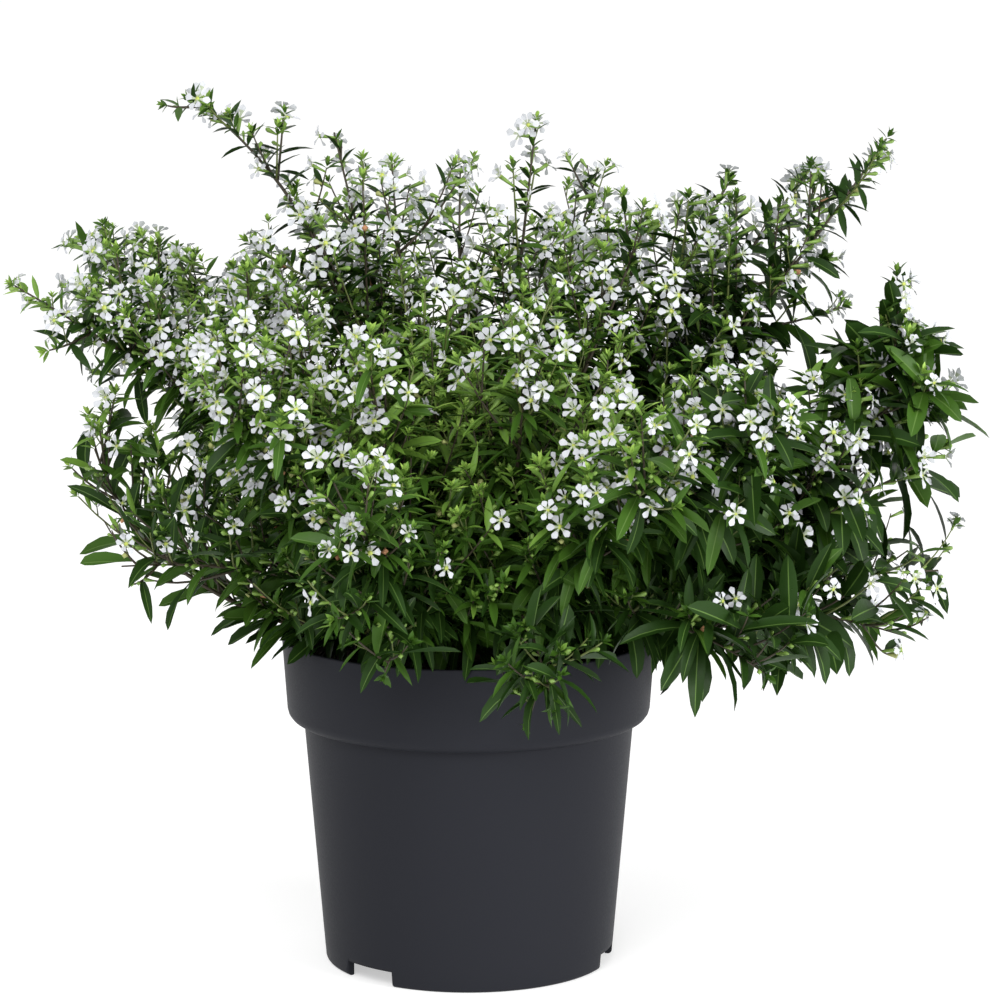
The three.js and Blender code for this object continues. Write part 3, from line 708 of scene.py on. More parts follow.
# %% [markdown]
# ## Finer shoots
# The real plant carries leafy shoots in most of its leaf axils. The solids leave these out. Here
# they grow in three steps: long ones along the leaders, turn after turn, then shorter ones along
# the leaders and their side shoots, and short tufted ones along all of these. A plant fills its
# crown evenly, because a shoot in the shade of others gives up. So space is counted in small
# cubes, and a shoot only grows where its cubes still have room.
# The real crown isn't equally dense. It is thin low down at its sides and airy at the top, and the
# strongest shoots are on the right. Each such place is a patch with soft edges.

# %% Crowding
CUBE = 11 * MM
AIRY_FROM = 110 * MM
FINE_OVERREACH = 24 * MM
crowding = {}


def cubes_at(points):
    return [tuple(cube) for cube in np.floor(points / CUBE).astype(int)]


def settle(points):
    for cube in cubes_at(points):
        crowding[cube] = crowding.get(cube, 0) + 1


def has_room(points, limit):
    return all(crowding.get(cube, 0) < limit for cube in cubes_at(points))


for shoot in shoots:
    settle(on_curve(shoot["curve"], np.arange(shoot["start"], shoot["end"], 0.5 * CUBE / shoot["length"])))
print("cubes with shoots", len(crowding))

# %% Patches of the crown
# The axes that the edges of a patch are square to
X, Z = 0, 2
# A name, how open the place is, then its edges: an axis, and where the patch starts and is full
THIN_PATCHES = [
    ("under the left arm", 0.7, (X, -35, -70), (Z, 70, 50)),
    ("low on the far left", 0.8, (X, -90, -110), (Z, 90, 75)),
    ("top", 0.45, (X, -60, -50), (X, 55, 45), (Z, 130, 150)),
    ("under the right arm", 0.6, (X, 50, 90), (Z, 35, 15)),
    ("low on the far right", 0.7, (X, 125, 145), (Z, 45, 30)),
    ("gap on the right", 0.8, (X, 100, 122), (X, 156, 146), (Z, 100, 85)),
]
BUSHY_PATCHES = [
    ("left arm", (X, -50, -60), (X, -135, -120), (Z, 55, 65), (Z, 170, 160)),
    ("right arm", (X, 85, 95), (Z, 80, 90), (Z, 130, 120)),
    ("far right", (X, 140, 148), (Z, 35, 45), (Z, 95, 85)),
]


def height_share(point, full):
    """How far up the crown a point is, from 0 at the soil to 1 at the given height over it."""
    return min(max((point[2] - SOIL_LEVEL) / full, 0), 1)


def ramp(value, first, last):
    """0 up to the first value, 1 from the last one on, and a straight rise between them."""
    return min(max((value - first) / (last - first), 0), 1)


def patch(point, *edges):
    """1 inside a soft-edged patch and 0 outside, with its edges in millimetres over the soil."""
    over_soil = (point[0] / MM, point[1] / MM, (point[2] - SOIL_LEVEL) / MM)
    share = 1.0
    for axis, first, last in edges:
        share *= ramp(over_soil[axis], first, last)
    return share


# %% Strength, light and room
def vigour(point):
    """The shoots on the right are the strongest, from 0 in the middle to 1 far out, but not at the top."""
    return patch(point, (X, 45, 135), (Z, 150, 100))


def openness(point):
    """Where the foliage is thin: 0 in a full place, towards 1 in an open one."""
    return max(share * patch(point, *edges) for _, share, *edges in THIN_PATCHES)


def fullness(point):
    """The share of shoots that find light: all in the middle, fewer at the top and where it is open."""
    airy_top = mix(0.8, 0.92, patch(point, (X, 10, -10))) * height_share(point, 145 * MM) ** 2.5
    bushy_sides = 0.75 * ramp(abs(point[0]), 50 * MM, 80 * MM)
    return 1 - max(airy_top * (1 - bushy_sides), 0.85 * openness(point))


def room_for(tip, limit):
    """How many shoots may share a cube: fewer at the top, more in the bushy arms on both sides."""
    if max(patch(tip, *edges) for _, *edges in BUSHY_PATCHES) > 0.5:
        return limit + 1
    return limit if tip[2] - SOIL_LEVEL < AIRY_FROM else max(limit - 1, 1)


# %% Finer shoots along a parent
SHOOT_TRIES = (1, 0.7, 0.45)


def finer_shoots(parent, measures, rank, seed, limit, chance=1.0):
    """Shoots along a parent, long near its foot and short at its tip, where there is room."""
    spacing, longest, shortest = (value * MM for value in measures)
    draw = dice(seed)
    leader = leaders[parent["leader"]]
    count = max(1, int(parent["length"] / spacing))
    found = []
    for k in range(count):
        place = (k + 0.2 + 0.6 * draw()) / count
        t = mix(parent["start"], parent["end"], 0.97 * place)
        turn = math.radians(k * GOLDEN_ANGLE + 360 * draw())
        opening = math.radians(mix(32, 60, draw()))
        direction = opened(parent["curve"], t, opening, turn)
        full = mix(longest, shortest, place ** 0.8) * mix(0.6, 1.15, draw())
        root = on_curve(parent["curve"], t)
        if direction[2] < 0:
            direction[2] *= -0.5
        upright = mix(0.05, 0.9, height_share(root, 120 * MM)) * (1 - 0.8 * vigour(root))
        direction = unit(direction + np.array((0, 0, upright)))
        if draw() > chance * fullness(root):
            continue
        for length in (full * share for share in SHOOT_TRIES):
            curve = upturned(root, direction, length)
            outer = on_curve(curve, np.array((0.5, 0.75, 1.0)))
            if not has_room(outer, room_for(curve[2], limit)) or not within_outline(outer + TUFT_ROOM).all():
                continue
            if within_crown(curve[2], leader, FINE_OVERREACH) and clear_of_limbs(outer):
                found.append(dict(curve=curve, start=0.0, end=1.0, length=length, rank=rank,
                                  leader=leader["index"], seed=seed * 10 + k))
                settle(outer)
                break
    return found


# %% All shoots
# In millimetres: the spacing along the parent, then a shoot's length at the parent's foot and tip
ON_LEADERS = (9, 75, 14)
ON_MAIN_SHOOTS = (14, 40, 12)
TUFTED = (10, 15, 5)
LEADER_TURNS = 7
LONGER_EACH_TURN = 2
TUFTED_CHANCE = 0.7
LEADER_SEED = 20000
MAIN_SEED = 25000
TUFTED_SEED = 30000

main_shoots = len(shoots)
for turn in range(LEADER_TURNS):
    spacing, longest, shortest = ON_LEADERS
    measures = (spacing, longest, shortest + LONGER_EACH_TURN * turn)
    for leader in leaders:
        whole = dict(curve=leader["curve"], start=0.10, end=trimmed(leader["curve"]),
                     length=leader["length"], leader=leader["index"])
        shoots += finer_shoots(whole, measures, 2, LEADER_SEED + 100 * turn + leader["index"],
                               1 + turn // 4)
for number in range(main_shoots):
    shoots += finer_shoots(shoots[number], ON_MAIN_SHOOTS, 2, MAIN_SEED + number, 2)
for number in range(len(shoots)):
    shoots += finer_shoots(shoots[number], TUFTED, 3, TUFTED_SEED + number, 3, TUFTED_CHANCE)
ranks = [sum(1 for s in shoots if s["rank"] == rank) for rank in range(4)]
print("shoots by rank", ranks)

# %% [markdown]
# ## Copying small shapes
# Every leaf, twig, bud and flower is a copy of a small template that is modelled once with bmesh.
# A template is turned into plain arrays, and numpy moves and scales all its copies at once. The
# copies are joined into a few large meshes, because thousands of objects would be slow and an
# export would not keep instances.

# %% Templates and heaps
def template_of(bm):
    """The corners, faces and finish numbers of a small shape, as arrays."""
    bm.verts.index_update()
    corners = np.array([v.co for v in bm.verts])
    totals = np.array([len(f.verts) for f in bm.faces])
    loops = np.array([v.index for f in bm.faces for v in f.verts])
    finishes = np.array([f.material_index for f in bm.faces])
    bm.free()
    return dict(corners=corners, totals=totals, loops=loops, finishes=finishes)


def new_heap():
    return dict(corners=[], totals=[], loops=[], finishes=[], size=0)


def drop(heap, template, corners, finishes=None):
    """Adds one copy of a template with its corners already in place."""
    heap["corners"].append(corners)
    heap["totals"].append(template["totals"])
    heap["loops"].append(template["loops"] + heap["size"])
    heap["finishes"].append(template["finishes"] if finishes is None else finishes)
    heap["size"] += len(corners)


def aimed(template, root, direction, face, size):
    """A template along +X with its face to +Z, scaled, turned and placed."""
    x = unit(direction)
    y = unit(np.cross(face, x))
    z = np.cross(x, y)
    return root + (template["corners"] * size) @ np.array((x, y, z))


# %% One object from a heap
def triangles_in(heap):
    return int(sum((totals - 2).sum() for totals in heap["totals"]))


def heap_piece(heap, name, materials, nodes):
    """One object from a heap, which stands for the named nodes."""
    totals = np.concatenate(heap["totals"])
    loops = np.concatenate(heap["loops"])
    starts = np.concatenate(((0,), np.cumsum(totals)[:-1]))
    mesh = bpy.data.meshes.new(name)
    mesh.vertices.add(heap["size"])
    mesh.vertices.foreach_set("co", np.concatenate(heap["corners"]).astype(np.float32).ravel())
    mesh.loops.add(len(loops))
    mesh.loops.foreach_set("vertex_index", loops.astype(np.int32))
    mesh.polygons.add(len(totals))
    mesh.polygons.foreach_set("loop_start", starts.astype(np.int32))
    mesh.polygons.foreach_set("material_index", np.concatenate(heap["finishes"]).astype(np.int32))
    mesh.update(calc_edges=True)
    mesh.shade_smooth()
    for material in materials:
        mesh.materials.append(material)
    piece = bpy.data.objects.new(name, mesh)
    bpy.context.collection.objects.link(piece)
    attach(piece, "root")
    if nodes:
        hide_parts(*nodes)
    print(name, "triangles", triangles_in(heap))


# %% [markdown]
# ## Stem, boughs and twigs
# Woody limbs are tapering tubes bent along their curves. A cone is cut into rings, and the rings
# are laid along the curve. On the stem and the boughs a noise that is stretched lengthwise lifts
# and sinks the surface, which gives the shallow ridges of young bark.

# %% Tubes
def tube_template(sides, rings):
    """A tube of radius 1 from z = 0 to z = 1 with closed ends."""
    bm = bmesh.new()
    bmesh.ops.create_cone(bm, cap_ends=True, segments=sides, radius1=1.0, radius2=1.0, depth=1.0)
    bmesh.ops.translate(bm, vec=(0, 0, 0.5), verts=bm.verts)
    upright = [e for e in bm.edges if abs(e.verts[0].co.z - e.verts[1].co.z) > 0.5]
    bmesh.ops.subdivide_edges(bm, edges=upright, cuts=rings - 1)
    return template_of(bm)


def tube_along(template, curve, start, end, first_radius, last_radius):
    around = template["corners"]
    t = mix(start, end, around[:, 2])
    radius = mix(first_radius, last_radius, around[:, 2])[:, None]
    along = along_curve(curve, t)
    side = side_of(curve)
    across = np.cross(side, along)
    return on_curve(curve, t) + radius * (around[:, :1] * side + around[:, 1:2] * across)


bark_brown = make_material("bark_brown", (0.055, 0.033, 0.022), 0.80, 900, 0.00025, 0.2, (1, 1, 0.3))
mottle(bark_brown, (0.028, 0.017, 0.012), (0.110, 0.072, 0.046), 300)


def with_relief(corners, middles, depth, grain):
    """Pushes the corners in and out from the middle of the limb by a lengthwise noise."""
    away = unit(corners - middles)
    stretched = corners * (grain, grain, grain * 0.25)
    relief = np.array([noise.noise(Vector(p)) for p in stretched])
    return corners + away * depth * relief[:, None]


# %% Stem and boughs
# How deep the relief is and its grain per metre
STEM_RELIEF = (0.7 * MM, 700)
BOUGH_RELIEF = (0.28 * MM, 900)

stem_tube = tube_template(28, 36)
around = stem_tube["corners"]
heights = STEM_HEIGHT * around[:, 2] ** 1.4
middles = np.array([stem_middle(h) for h in heights])
radii = np.array([stem_radius(h) for h in heights])[:, None]
stem_corners = middles + radii * around * (1, 1, 0)
rim_only = np.abs(np.hypot(around[:, 0], around[:, 1]) - 1) < 0.01
stem_corners[rim_only] = with_relief(stem_corners[rim_only], middles[rim_only], *STEM_RELIEF)
stem_heap = new_heap()
drop(stem_heap, stem_tube, stem_corners)
heap_piece(stem_heap, "woody_stem", [bark_brown], ["trunk"])

bough_tube = tube_template(9, 16)
bough_heap = new_heap()
bough_nodes = []
for leader in leaders:
    if leader["share"] == 0:
        continue
    end = leader["share"] + 0.01
    corners = tube_along(bough_tube, leader["curve"], 0, end, BOUGH_ROOT_RADIUS, BOUGH_TIP_RADIUS)
    middles = on_curve(leader["curve"], mix(0, end, bough_tube["corners"][:, 2]))
    drop(bough_heap, bough_tube, with_relief(corners, middles, *BOUGH_RELIEF))
    bough_nodes.append("bough_" + leader["name"])
heap_piece(bough_heap, "boughs", [bark_brown], bough_nodes)

# %% Twigs
# By rank, from a leader at 0 to a tufted shoot at 3: the tube's sides and rings, and its radius in
# millimetres at the foot and at the tip
TWIG_SIZES = {
    0: (5, 12, 0.9, 0.30),
    1: (4, 6, 0.55, 0.28),
    2: (4, 5, 0.45, 0.25),
    3: (3, 3, 0.32, 0.22),
}
twig_tubes = {rank: tube_template(sides, rings) for rank, (sides, rings, _, _) in TWIG_SIZES.items()}
twig_heap = new_heap()
for shoot in shoots:
    tube = twig_tubes[shoot["rank"]]
    _, _, first, last = TWIG_SIZES[shoot["rank"]]
    corners = tube_along(tube, shoot["curve"], shoot["start"], shoot["end"], first * MM, last * MM)
    green = shoot["rank"] == 3 or (shoot["rank"] > 0 and shoot["seed"] % 3 == 0)
    drop(twig_heap, tube, corners, tube["finishes"] + (1 if green else 0))
heap_piece(twig_heap, "twigs", [twig_brown, twig_green], [])

# %% [markdown]
# ## Leaves
# A leaf is a narrow blade, broadest near its middle, folded slightly along its midrib and arching
# over. It starts as a flat grid. The grid's rows are narrowed by a formula, which draws the
# outline, and the fold and arch are formulas too. On the large leaves the middle strip of faces is
# the pale rib, so the rib is real geometry and needs no picture. The small ones come in thousands,
# so they are only folded and have fewer rows.
# The youngest leaves stand close together, so they come as ready-made tufts.

# %% Leaf templates
LEAF_SLIMNESS = 0.22
BLUNT = 0.55
POINTED = 0.75


def leaf_outline(s, power):
    """Half the width of a leaf at a share s of its length. A smaller power gives blunter ends."""
    return 0.5 * max(math.sin(math.pi * s ** 0.9), 0.0) ** power


def eased(u):
    """Rows that crowd towards both ends of a blade, where its edge curves most."""
    return mix(u, 0.5 - 0.5 * math.cos(math.pi * u), 0.6)


def leaf_template(fold, arch, twist):
    """A blade along +X, one unit long and one wide, with a rib strip down its middle."""
    bm = bmesh.new()
    bmesh.ops.create_grid(bm, x_segments=6, y_segments=3, size=0.5)
    for vert in bm.verts:
        s = eased(vert.co.x + 0.5)
        edge = abs(vert.co.y) > 0.3
        half = max(leaf_outline(s, BLUNT), 0.05 * (1 - s))
        across = math.copysign(half if edge else 0.07 * half, vert.co.y)
        lift = fold * abs(across) * LEAF_SLIMNESS - arch * s ** 2.5
        sheer = twist * s * across * LEAF_SLIMNESS
        vert.co = (s, across, lift + sheer)
    bmesh.ops.remove_doubles(bm, verts=bm.verts, dist=0.002)
    bm.faces.ensure_lookup_table()
    for face in bm.faces:
        face.material_index = 1 if abs(face.calc_center_median().y) < 0.02 else 0
    return template_of(bm)


def folded_leaf_template(fold, arch, rows):
    """A smaller blade, which is only folded and has no rib of its own."""
    bm = bmesh.new()
    bmesh.ops.create_grid(bm, x_segments=rows, y_segments=2, size=0.5)
    for vert in bm.verts:
        s = vert.co.x + 0.5
        across = 2 * vert.co.y * max(leaf_outline(s, POINTED), 0.06 * (1 - s))
        vert.co = (s, across, fold * abs(across) * LEAF_SLIMNESS - arch * s * s)
    bmesh.ops.remove_doubles(bm, verts=bm.verts, dist=0.002)
    return template_of(bm)


# Fold, arch and twist
LARGE_LEAVES = [leaf_template(*bend) for bend in (
    (0.55, 0.12, 0.0), (0.40, 0.22, 1.2), (0.70, 0.05, -1.2), (0.50, 0.32, -0.6))]
MIDDLE_LEAVES = [folded_leaf_template(*bend, 4) for bend in ((0.60, 0.14), (0.45, 0.24), (0.75, 0.05))]
SMALL_LEAVES = [folded_leaf_template(*bend, 3) for bend in ((0.5, 0.08), (0.35, 0.2), (0.7, -0.06))]
faces_in_leaves = [len(family[0]["totals"]) for family in (LARGE_LEAVES, MIDDLE_LEAVES, SMALL_LEAVES)]
print("faces in a leaf", faces_in_leaves)

# %% Tuft templates
TINY_LEAF = folded_leaf_template(0.6, 0.12, 3)
TUFT_SEED = 600
KNOT_SEED = 620


def tuft_template(seed, pairs, longest):
    """Pairs of tiny leaves round +X in millimetres: long and spreading outside, upright inside."""
    draw = dice(seed)
    heap = new_heap()
    for pair in range(pairs):
        inner = pair / (pairs - 1)
        opening = math.radians(mix(62, 15, inner) + mix(-10, 10, draw()))
        for sign in (-1, 1):
            turn = math.radians(90 * pair + mix(-16, 16, draw()))
            sideways = sign * np.array((0.0, math.cos(turn), math.sin(turn)))
            direction = math.cos(opening) * np.array((1.0, 0.0, 0.0)) + math.sin(opening) * sideways
            length = longest * mix(1, 0.5, inner) * mix(0.8, 1.1, draw())
            size = np.array((length, length * mix(0.34, 0.46, draw()), length))
            root = np.array((0.7 * pair, 0.0, 0.0))
            corners = aimed(TINY_LEAF, root, direction, (1.0, 0.0, 0.0), size)
            drop(heap, TINY_LEAF, corners, TINY_LEAF["finishes"] + (1 if inner > 0.4 else 0))
    return {key: np.concatenate(heap[key]) for key in ("corners", "totals", "loops", "finishes")}


TIP_TUFTS = [tuft_template(TUFT_SEED + k, 4, 5.4) for k in range(4)]
AXIL_KNOTS = [tuft_template(KNOT_SEED + k, 2, 4.0) for k in range(4)]
print("faces in a tuft", len(TIP_TUFTS[0]["totals"]))

# %% [markdown]
# ## Leafing the shoots
# Leaves stand in pairs, each pair a quarter turn from the last, with their faces up and towards
# the tip of the shoot. They are long near the soil and short at the top, and shorter again towards
# each tip. Low down they lean along the shoot and droop. A knot of young leaves sits in many of the axils,
# and a tuft ends each shoot.
# The colour goes by spray, by chance and as painted light and shade: sprays in the middle of the crown are
# painted lightest, and those low down, at the top and on the right are painted deep green as shade. Knots
# and tufts are fresh yellow-green, with painted shade that makes them darker low down, at the top and on the
# right.

# %% Leaf rules
# By rank, from a leader at 0 to a tufted shoot at 3
RANK_LENGTH = {0: 1.0, 1: 0.95, 2: 0.86, 3: 0.5}
TUFT_SIZE = {0: 1.1, 1: 1.0, 2: 0.95, 3: 0.7}
KNOT_CHANCE = 0.38
LARGE_FROM = 15.0 * MM
SMALL_UNDER = 7.0 * MM
LOWEST_LEAF = 24 * MM
LONGEST_LEAF = 31 * MM
SHRINKING_HEIGHT = 290 * MM


def leaf_length(point, share, rank):
    """Long low down and on the strong shoots, short at each tip."""
    height = max(point[2] - SOIL_LEVEL, 0)
    strong = vigour(point)
    low_left = patch(point, (X, -95, -125), (Z, 105, 85))
    length = LOWEST_LEAF * math.exp(-height / SHRINKING_HEIGHT) * (1 + 0.7 * strong + 0.4 * low_left)
    low_right = patch(point, (X, 120, 145), (Z, 55, 35))
    shorter = (1 - (0.6 - 0.2 * strong) * share ** 3) * (1 - 0.4 * low_right)
    return min(length, LONGEST_LEAF) * mix(RANK_LENGTH[rank], 1, 0.6 * strong) * shorter


def leaf_habit(root, share, rank):
    """How far a leaf leans along its shoot, how much it droops, and its least width for its length."""
    lean = patch(root, (X, -30, -80), (Z, 90, 60))
    forward = 0.5 if rank == 3 else mix(0.6, 0.22, height_share(root, 90 * MM))
    forward = mix(forward, 1.0, share ** 3) + 0.6 * lean
    droop = mix(0.55, 0.10, height_share(root, 75 * MM)) * (1 - 0.8 * share) * (1 - 0.6 * lean)
    width = 0.17 + 0.09 * vigour(root) + 0.03 * patch(root, (Z, 100, 140)) - 0.04 * openness(root)
    return forward, droop, width


def node_spacing(length, rank):
    return 4.0 * MM if rank == 3 else 4.2 * MM + 0.17 * length


def cleared(root, direction, length):
    """Lifts a leaf that would dip into the pot or the soil, or gives None."""
    direction = np.array(direction)
    for _ in range(6):
        direction = unit(direction)
        points = root + np.outer((0.4, 0.7, 1.0), direction) * length
        if clear_of_pot(points).all():
            return direction if within_outline(points[1:2]).all() else None
        direction[2] += 0.3
    return None


# %% Colour by spray, with painted light and shade
# A leaf takes the next lighter green from each of these on
LIGHT_LIMITS = (0.52, 0.86, 1.12)


def seen_height(point):
    """The height over the soil as the front or the back shows it, where near things stand lower."""
    return point[2] - SOIL_LEVEL - 0.18 * abs(point[1])


def spray_tone_and_painted_light(tip, draw):
    """How light a spray is: by the place of its tip, as painted light and shade, and by chance, as its own
    tone.
    """
    height = seen_height(tip)
    # Painted light and shade: lighter in the middle and a little on the upper left, darker low down, at the
    # top and on the right. The draw adds the spray's own random tone.
    middle = ramp(abs(tip[0]), 90 * MM, 40 * MM) * ramp(height, 30 * MM, 70 * MM)
    shade = 0.07 + 0.22 * ramp(height, 20 * MM, 80 * MM) * (1 - 0.9 * ramp(height, 120 * MM, 160 * MM))
    shade += 0.22 * middle * ramp(height, 165 * MM, 140 * MM)
    shade += 0.05 * ramp(tip[0], -40 * MM, -90 * MM) * ramp(height, 80 * MM, 110 * MM)
    return shade - 0.18 * ramp(tip[0], 40 * MM, 95 * MM) + 0.50 * draw()


def leaf_finish(shade, share, rank):
    """The number of the leaf's material, from 0 for deep green to 3 for the freshest."""
    light = shade + (0.35 * share if rank == 3 else 0.5 * share ** 5)
    return sum(light >= limit for limit in LIGHT_LIMITS)


def add_tuft(heap, family, root, direction, size, draw):
    """A tuft of young leaves: fresh green in the light, and darker low down, at the top and on the right as
    painted shade.
    """
    template = family[int(draw() * len(family))]
    if draw() < openness(root) or not clear_of_pot(np.array((root,))).all():
        return
    turn = 2 * math.pi * draw()
    face = (math.cos(turn), math.sin(turn), 0.3)
    height = seen_height(root)
    # Painted shade: darker low down, at the top and on the right; the draw adds random tone.
    light = ramp(height, 25 * MM, 85 * MM) - 0.5 * ramp(height, 115 * MM, 150 * MM) + 0.3 * draw()
    light -= 0.5 * ramp(root[0], 60 * MM, 120 * MM)
    outer_finish = 1 if light < 0.6 else 2
    finishes = outer_finish + (template["finishes"] if light > 0.25 else 0 * template["finishes"])
    drop(heap, template, aimed(template, root, direction, face, size * MM), finishes)


# %% Leaves along a shoot
RIB_FINISH = 4


def add_leaf(heap, root, direction, along, length, width, finish, draw):
    """One leaf of the family that suits its length."""
    family = LARGE_LEAVES if length > LARGE_FROM else MIDDLE_LEAVES
    if length < SMALL_UNDER:
        family = SMALL_LEAVES
    template = family[int(draw() * len(family))]
    size = np.array((length, length * (width + 0.05 * draw()), length))
    face = 0.5 * along + np.array((draw() - 0.5, draw() - 0.5, 0.8 + 0.3 * draw()))
    finishes = np.where(template["finishes"] == 1, RIB_FINISH, finish)
    drop(heap, template, aimed(template, root, direction, face, size), finishes)


def leaf_shoot(heap, shoot, draw):
    """Pairs of leaves along a shoot, with knots in their axils and a tuft at its tip."""
    rank = shoot["rank"]
    curve = shoot["curve"]
    # How light the spray is painted, with its own random tone
    shade = spray_tone_and_painted_light(curve[2], draw)
    side = side_of(curve)
    covered = (0.3 + 0.7 * draw()) * 4 * MM
    node = 0
    leaves = 0
    while covered < shoot["length"]:
        share = covered / shoot["length"]
        t = mix(shoot["start"], shoot["end"], min(share, 0.97))
        root = on_curve(curve, t)
        along = along_curve(curve, t)
        across = np.cross(side, along)
        usual = leaf_length(root, share, rank)
        covered += node_spacing(usual, rank)
        node += 1
        turn = math.radians(90 * node + 30 * draw())
        forward, droop, width = leaf_habit(root, share, rank)
        finish = leaf_finish(shade, share, rank)
        for sign in (-1, 1):
            swing = turn + math.radians(mix(-14, 14, draw()))
            direction = forward * along + sign * (math.cos(swing) * side + math.sin(swing) * across)
            direction[2] -= droop * draw()
            length = usual * mix(0.8, 1.15, draw())
            direction = cleared(root, direction, length)
            if direction is None or draw() < 0.8 * openness(root):
                continue
            add_leaf(heap, root, direction, along, length, width, finish, draw)
            leaves += 1
            if rank < 3 and draw() < KNOT_CHANCE * (0.3 + 0.7 * share):
                add_tuft(heap, AXIL_KNOTS, root, along + 0.9 * direction, mix(0.6, 1.1, draw()), draw)
    tip = on_curve(curve, shoot["end"])
    tip_along = along_curve(curve, shoot["end"])
    add_tuft(heap, TIP_TUFTS, tip, tip_along, TUFT_SIZE[rank] * mix(0.75, 1.1, draw()), draw)
    return leaves


# %% All leaves
LEAF_PIECES = 5
LEAF_SEED = 50000

leaf_groups = [new_heap() for _ in range(LEAF_PIECES)]
group_of = [index * LEAF_PIECES // len(leaders) for index in range(len(leaders))]
leaf_count = 0
for number, shoot in enumerate(shoots):
    leaf_count += leaf_shoot(leaf_groups[group_of[shoot["leader"]]], shoot, dice(LEAF_SEED + number))
print("leaves", leaf_count)

LEAF_FINISHES = [leaf_deep, leaf_mid, leaf_fresh, leaf_young, leaf_rib]
for group, heap in enumerate(leaf_groups):
    nodes = ["foliage_" + l["name"] for l in leaders if group_of[l["index"]] == group]
    heap_piece(heap, "leaves_" + str(group + 1), LEAF_FINISHES, nodes)

# %% [markdown]
# ## Flowers
# A flower has a narrow green tube and six crinkled white petals: two stand up at the top and four
# spread to the sides and below. One petal is a small grid narrowed to a claw. It is copied round
# the mouth of the tube, and the whole flower then serves as a template.

# %% A petal
TUBE_LENGTH = 7.0
PETAL_LENGTH = 4.4
PETAL_WIDTH = 2.65
PETAL_CRINKLE = 0.3


def add_petal(bm, angle, reflex, reach):
    """An obovate petal with a narrow claw, which stands out from the mouth of the tube."""
    made = bmesh.ops.create_grid(bm, x_segments=4, y_segments=2, size=0.5)
    petal = made["verts"]
    for vert in petal:
        s = (vert.co.x + 0.5) ** 0.75
        v = vert.co.y * 2
        width = 0.10 + 0.40 * math.sin(math.pi * s ** 2.4)
        rise = PETAL_CRINKLE * math.sin(7 * s + 2.5 * v) + 0.5 * s * (1 - s)
        vert.co = (rise, v * width * PETAL_WIDTH, s * reach + 0.5)
    bmesh.ops.rotate(bm, verts=petal, cent=(0, 0, 0), matrix=Matrix.Rotation(-reflex, 3, "Y"))
    bmesh.ops.rotate(bm, verts=petal, cent=(0, 0, 0), matrix=Matrix.Rotation(math.radians(angle), 3, "X"))
    bmesh.ops.translate(bm, verts=petal, vec=(TUBE_LENGTH, 0, 0))
    for face in {f for v in petal for f in v.link_faces}:
        middle = face.calc_center_median()
        claw = math.hypot(middle.y, middle.z) < 0.5 + 0.3 * PETAL_LENGTH
        # The claw faces take the green claw finish, darker as painted shade near the throat.
        face.material_index = 3 if claw else 0


# %% Flower templates
PETAL_ANGLES = (-23, 23, 80, -80, 150, -150)
TUBE_RADIUS = 0.95


def flower_template(seed, reflex):
    """A flower along +X in millimetres, its foot at the origin and its upper petals to +Z."""
    draw = dice(seed)
    bm = bmesh.new()
    for angle in PETAL_ANGLES:
        reach = PETAL_LENGTH * mix(0.82, 1.12, draw())
        add_petal(bm, angle + mix(-9, 9, draw()), reflex + mix(-0.45, 0.45, draw()), reach)
    tube = bmesh.ops.create_cone(bm, cap_ends=True, segments=6, radius1=0.5, radius2=TUBE_RADIUS,
                                 depth=TUBE_LENGTH)["verts"]
    bmesh.ops.translate(bm, verts=tube, vec=(0, 0, TUBE_LENGTH / 2))
    bmesh.ops.rotate(bm, verts=tube, cent=(0, 0, 0), matrix=Matrix.Rotation(math.pi / 2, 3, "Y"))
    for face in {f for v in tube for f in v.link_faces}:
        face.material_index = 2 if face.calc_center_median().x > TUBE_LENGTH - 0.1 else 1
    return template_of(bm)


def bud_template(length, radius):
    """A club-shaped bud along +X in millimetres."""
    section = [(0.0, 0.0, 0.0), (0.35 * radius, 0.08 * length, 0.0), (0.65 * radius, 0.45 * length, 0.0),
               (radius, 0.78 * length, 0.0), (0.6 * radius, 0.95 * length, 0.0), (0.0, length, 0.0)]
    bm = turned(section, 4)
    bmesh.ops.rotate(bm, verts=bm.verts, cent=(0, 0, 0), matrix=Matrix.Rotation(math.pi / 2, 3, "Y"))
    return template_of(bm)


FLOWER_SHAPE_SEED = 700
FLOWER_REFLEXES = (0.05, -0.35, 0.3, -0.75, -0.1, 0.15)
FLOWERS = [flower_template(FLOWER_SHAPE_SEED + k, reflex) for k, reflex in enumerate(FLOWER_REFLEXES)]
BUD = bud_template(5.4, 0.95)
CAPSULE = bud_template(4.2, 1.25)
print("faces in a flower", len(FLOWERS[0]["totals"]), "in a bud", len(BUD["totals"]))

# %% [markdown]
# ## Where the flowers stand
# Flowers open near the tips of the shoots, where there is light, and are few near the soil. Small
# cubes keep them apart, as in the growth of the shoots. They look outwards from the crown, more to
# the front or the back than to the sides. Buds stand among them, with a few pale or dry capsules.

# %% Flowering rules
FLOWER_SPACING = 4.5 * MM
FLOWER_CUBE = 10 * MM
FLOWER_CHANCE = {0: 1.0, 1: 0.95, 2: 0.9, 3: 0.8}
BUD_CHANCE = 0.30
CAPSULE_CHANCE = 0.02
DRY_SHARE = 0.25
FACING_OUT = 20 * MM
CROWN_REACH = 150 * MM
CROWN_RISE = 160 * MM
DEEP_UNDER = 20 * MM


def exposure(point):
    """How far out a point is, from 0 deep inside the crown to about 1 at its surface."""
    out = math.hypot(point[0], point[1]) / CROWN_REACH
    up = max(point[2] - SOIL_LEVEL - DEEP_UNDER, 0) / CROWN_RISE
    return math.hypot(out, up)


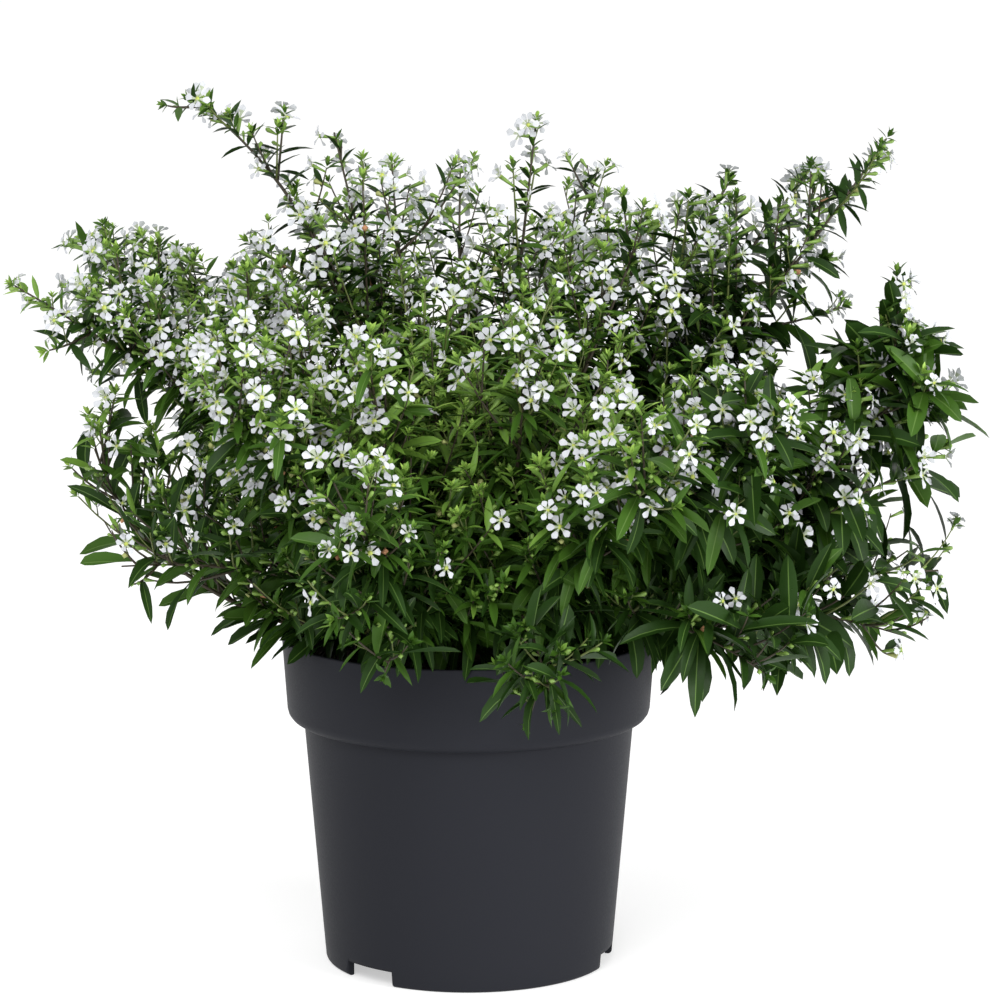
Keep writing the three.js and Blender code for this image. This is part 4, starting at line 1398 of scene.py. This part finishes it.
def outward(root, along, draw):
    """Where a flower looks: away from the axis, more to the front or back than to the sides."""
    reach = math.hypot(root[0], root[1])
    turn = 2 * math.pi * draw()
    away = unit((0.75 * root[0], root[1] + math.copysign(FACING_OUT, root[1]), 0.0))
    any_side = np.array((math.cos(turn), math.sin(turn), 0.0))
    sure = min(reach / (110 * MM), 1)
    lift = np.array((0.0, 0.0, mix(-0.1, 0.6, draw())))
    return unit(sure * away + mix(1.0, 0.75, sure) * any_side + lift + 0.2 * along)


def bloom(root, share, rank):
    """How likely a flower is: most near the tips, out in the light, and few near the soil."""
    light = ramp(exposure(root), 0.60, 0.85)
    height = seen_height(root)
    high = max(ramp(height, 20 * MM, 120 * MM), 0.85 * patch(root, (X, 70, 120), (Z, 30, 60)))
    low_left = patch(root, (X, -70, -100), (Z, 110, 80))
    top = ramp(height, 105 * MM, 145 * MM)
    near_tip = ramp(share, mix(0.35, 0.55, top), mix(0.75, 0.9, top)) * (1 - 0.4 * top)
    likely = light * mix(0.10, 1, high ** 1.5) * mix(0.08, 1.6, near_tip)
    return FLOWER_CHANCE[rank] * likely * (1 - 0.6 * low_left)


# %% Flowers, buds and capsules
FLOWER_SEED = 90000

flower_heaps = [new_heap(), new_heap()]
flowered = set()
bud_heap = new_heap()


def flower_shoot(shoot, draw):
    """Flowers, buds and capsules along a shoot, as chance and room allow."""
    rank = shoot["rank"]
    count = max(2, round(shoot["length"] / FLOWER_SPACING))
    for j in range(count):
        share = (j + 0.7) / count
        t = mix(shoot["start"], shoot["end"], min(share, 0.98))
        root = on_curve(shoot["curve"], t)
        chance = draw()
        flowers_here = bloom(root, share, rank)
        direction = outward(root, along_curve(shoot["curve"], t), draw)
        size = mix(0.70, 1.05, draw()) * MM
        ahead = root + np.outer((4.0, TUBE_LENGTH), direction) * MM
        if not clear_of_pot(ahead).all() or not within_outline(ahead[:1]).all():
            continue
        up = np.array((0.1 * (draw() - 0.5), 0.1 * (draw() - 0.5), 1.0))
        spot = tuple(np.floor(ahead[1] / FLOWER_CUBE).astype(int))
        if chance < flowers_here and spot not in flowered:
            flowered.add(spot)
            template = FLOWERS[int(draw() * len(FLOWERS))]
            heap = flower_heaps[0 if root[1] < 0 else 1]
            drop(heap, template, aimed(template, root, direction, up, size))
        elif chance < flowers_here + BUD_CHANCE and share > 0.4:
            drop(bud_heap, BUD, aimed(BUD, root, direction, up, size))
        elif chance > 1 - CAPSULE_CHANCE:
            finish = 2 if draw() < DRY_SHARE else 1
            drop(bud_heap, CAPSULE, aimed(CAPSULE, root, direction, up, size), CAPSULE["finishes"] + finish)


for number, shoot in enumerate(shoots):
    flower_shoot(shoot, dice(FLOWER_SEED + number))
print("flowers", len(flowered), "buds and capsules", len(bud_heap["corners"]))
FLOWER_FINISHES = [petal_white, calyx_lime, throat_yellow, claw_green_and_painted_shade]
for half, heap in zip(("front", "back"), flower_heaps):
    heap_piece(heap, "flowers_" + half, FLOWER_FINISHES, [])
heap_piece(bud_heap, "buds", [calyx_lime, capsule_pale, dry_tan], [])

# %% [markdown]
# ## The floor
# A wide pale floor catches a soft shadow and runs on behind the plant like studio paper.

# %% Floor
floor_bm = bmesh.new()
bmesh.ops.create_grid(floor_bm, x_segments=2, y_segments=2, size=20.0)
floor_paper = make_material("floor_paper", (0.62, 0.62, 0.62), 0.80, 40, 0.0001, 0.1)
let_glow(floor_paper, (1.0, 1.0, 1.0), 0.50)
floor = piece_of(floor_bm, "floor", [floor_paper])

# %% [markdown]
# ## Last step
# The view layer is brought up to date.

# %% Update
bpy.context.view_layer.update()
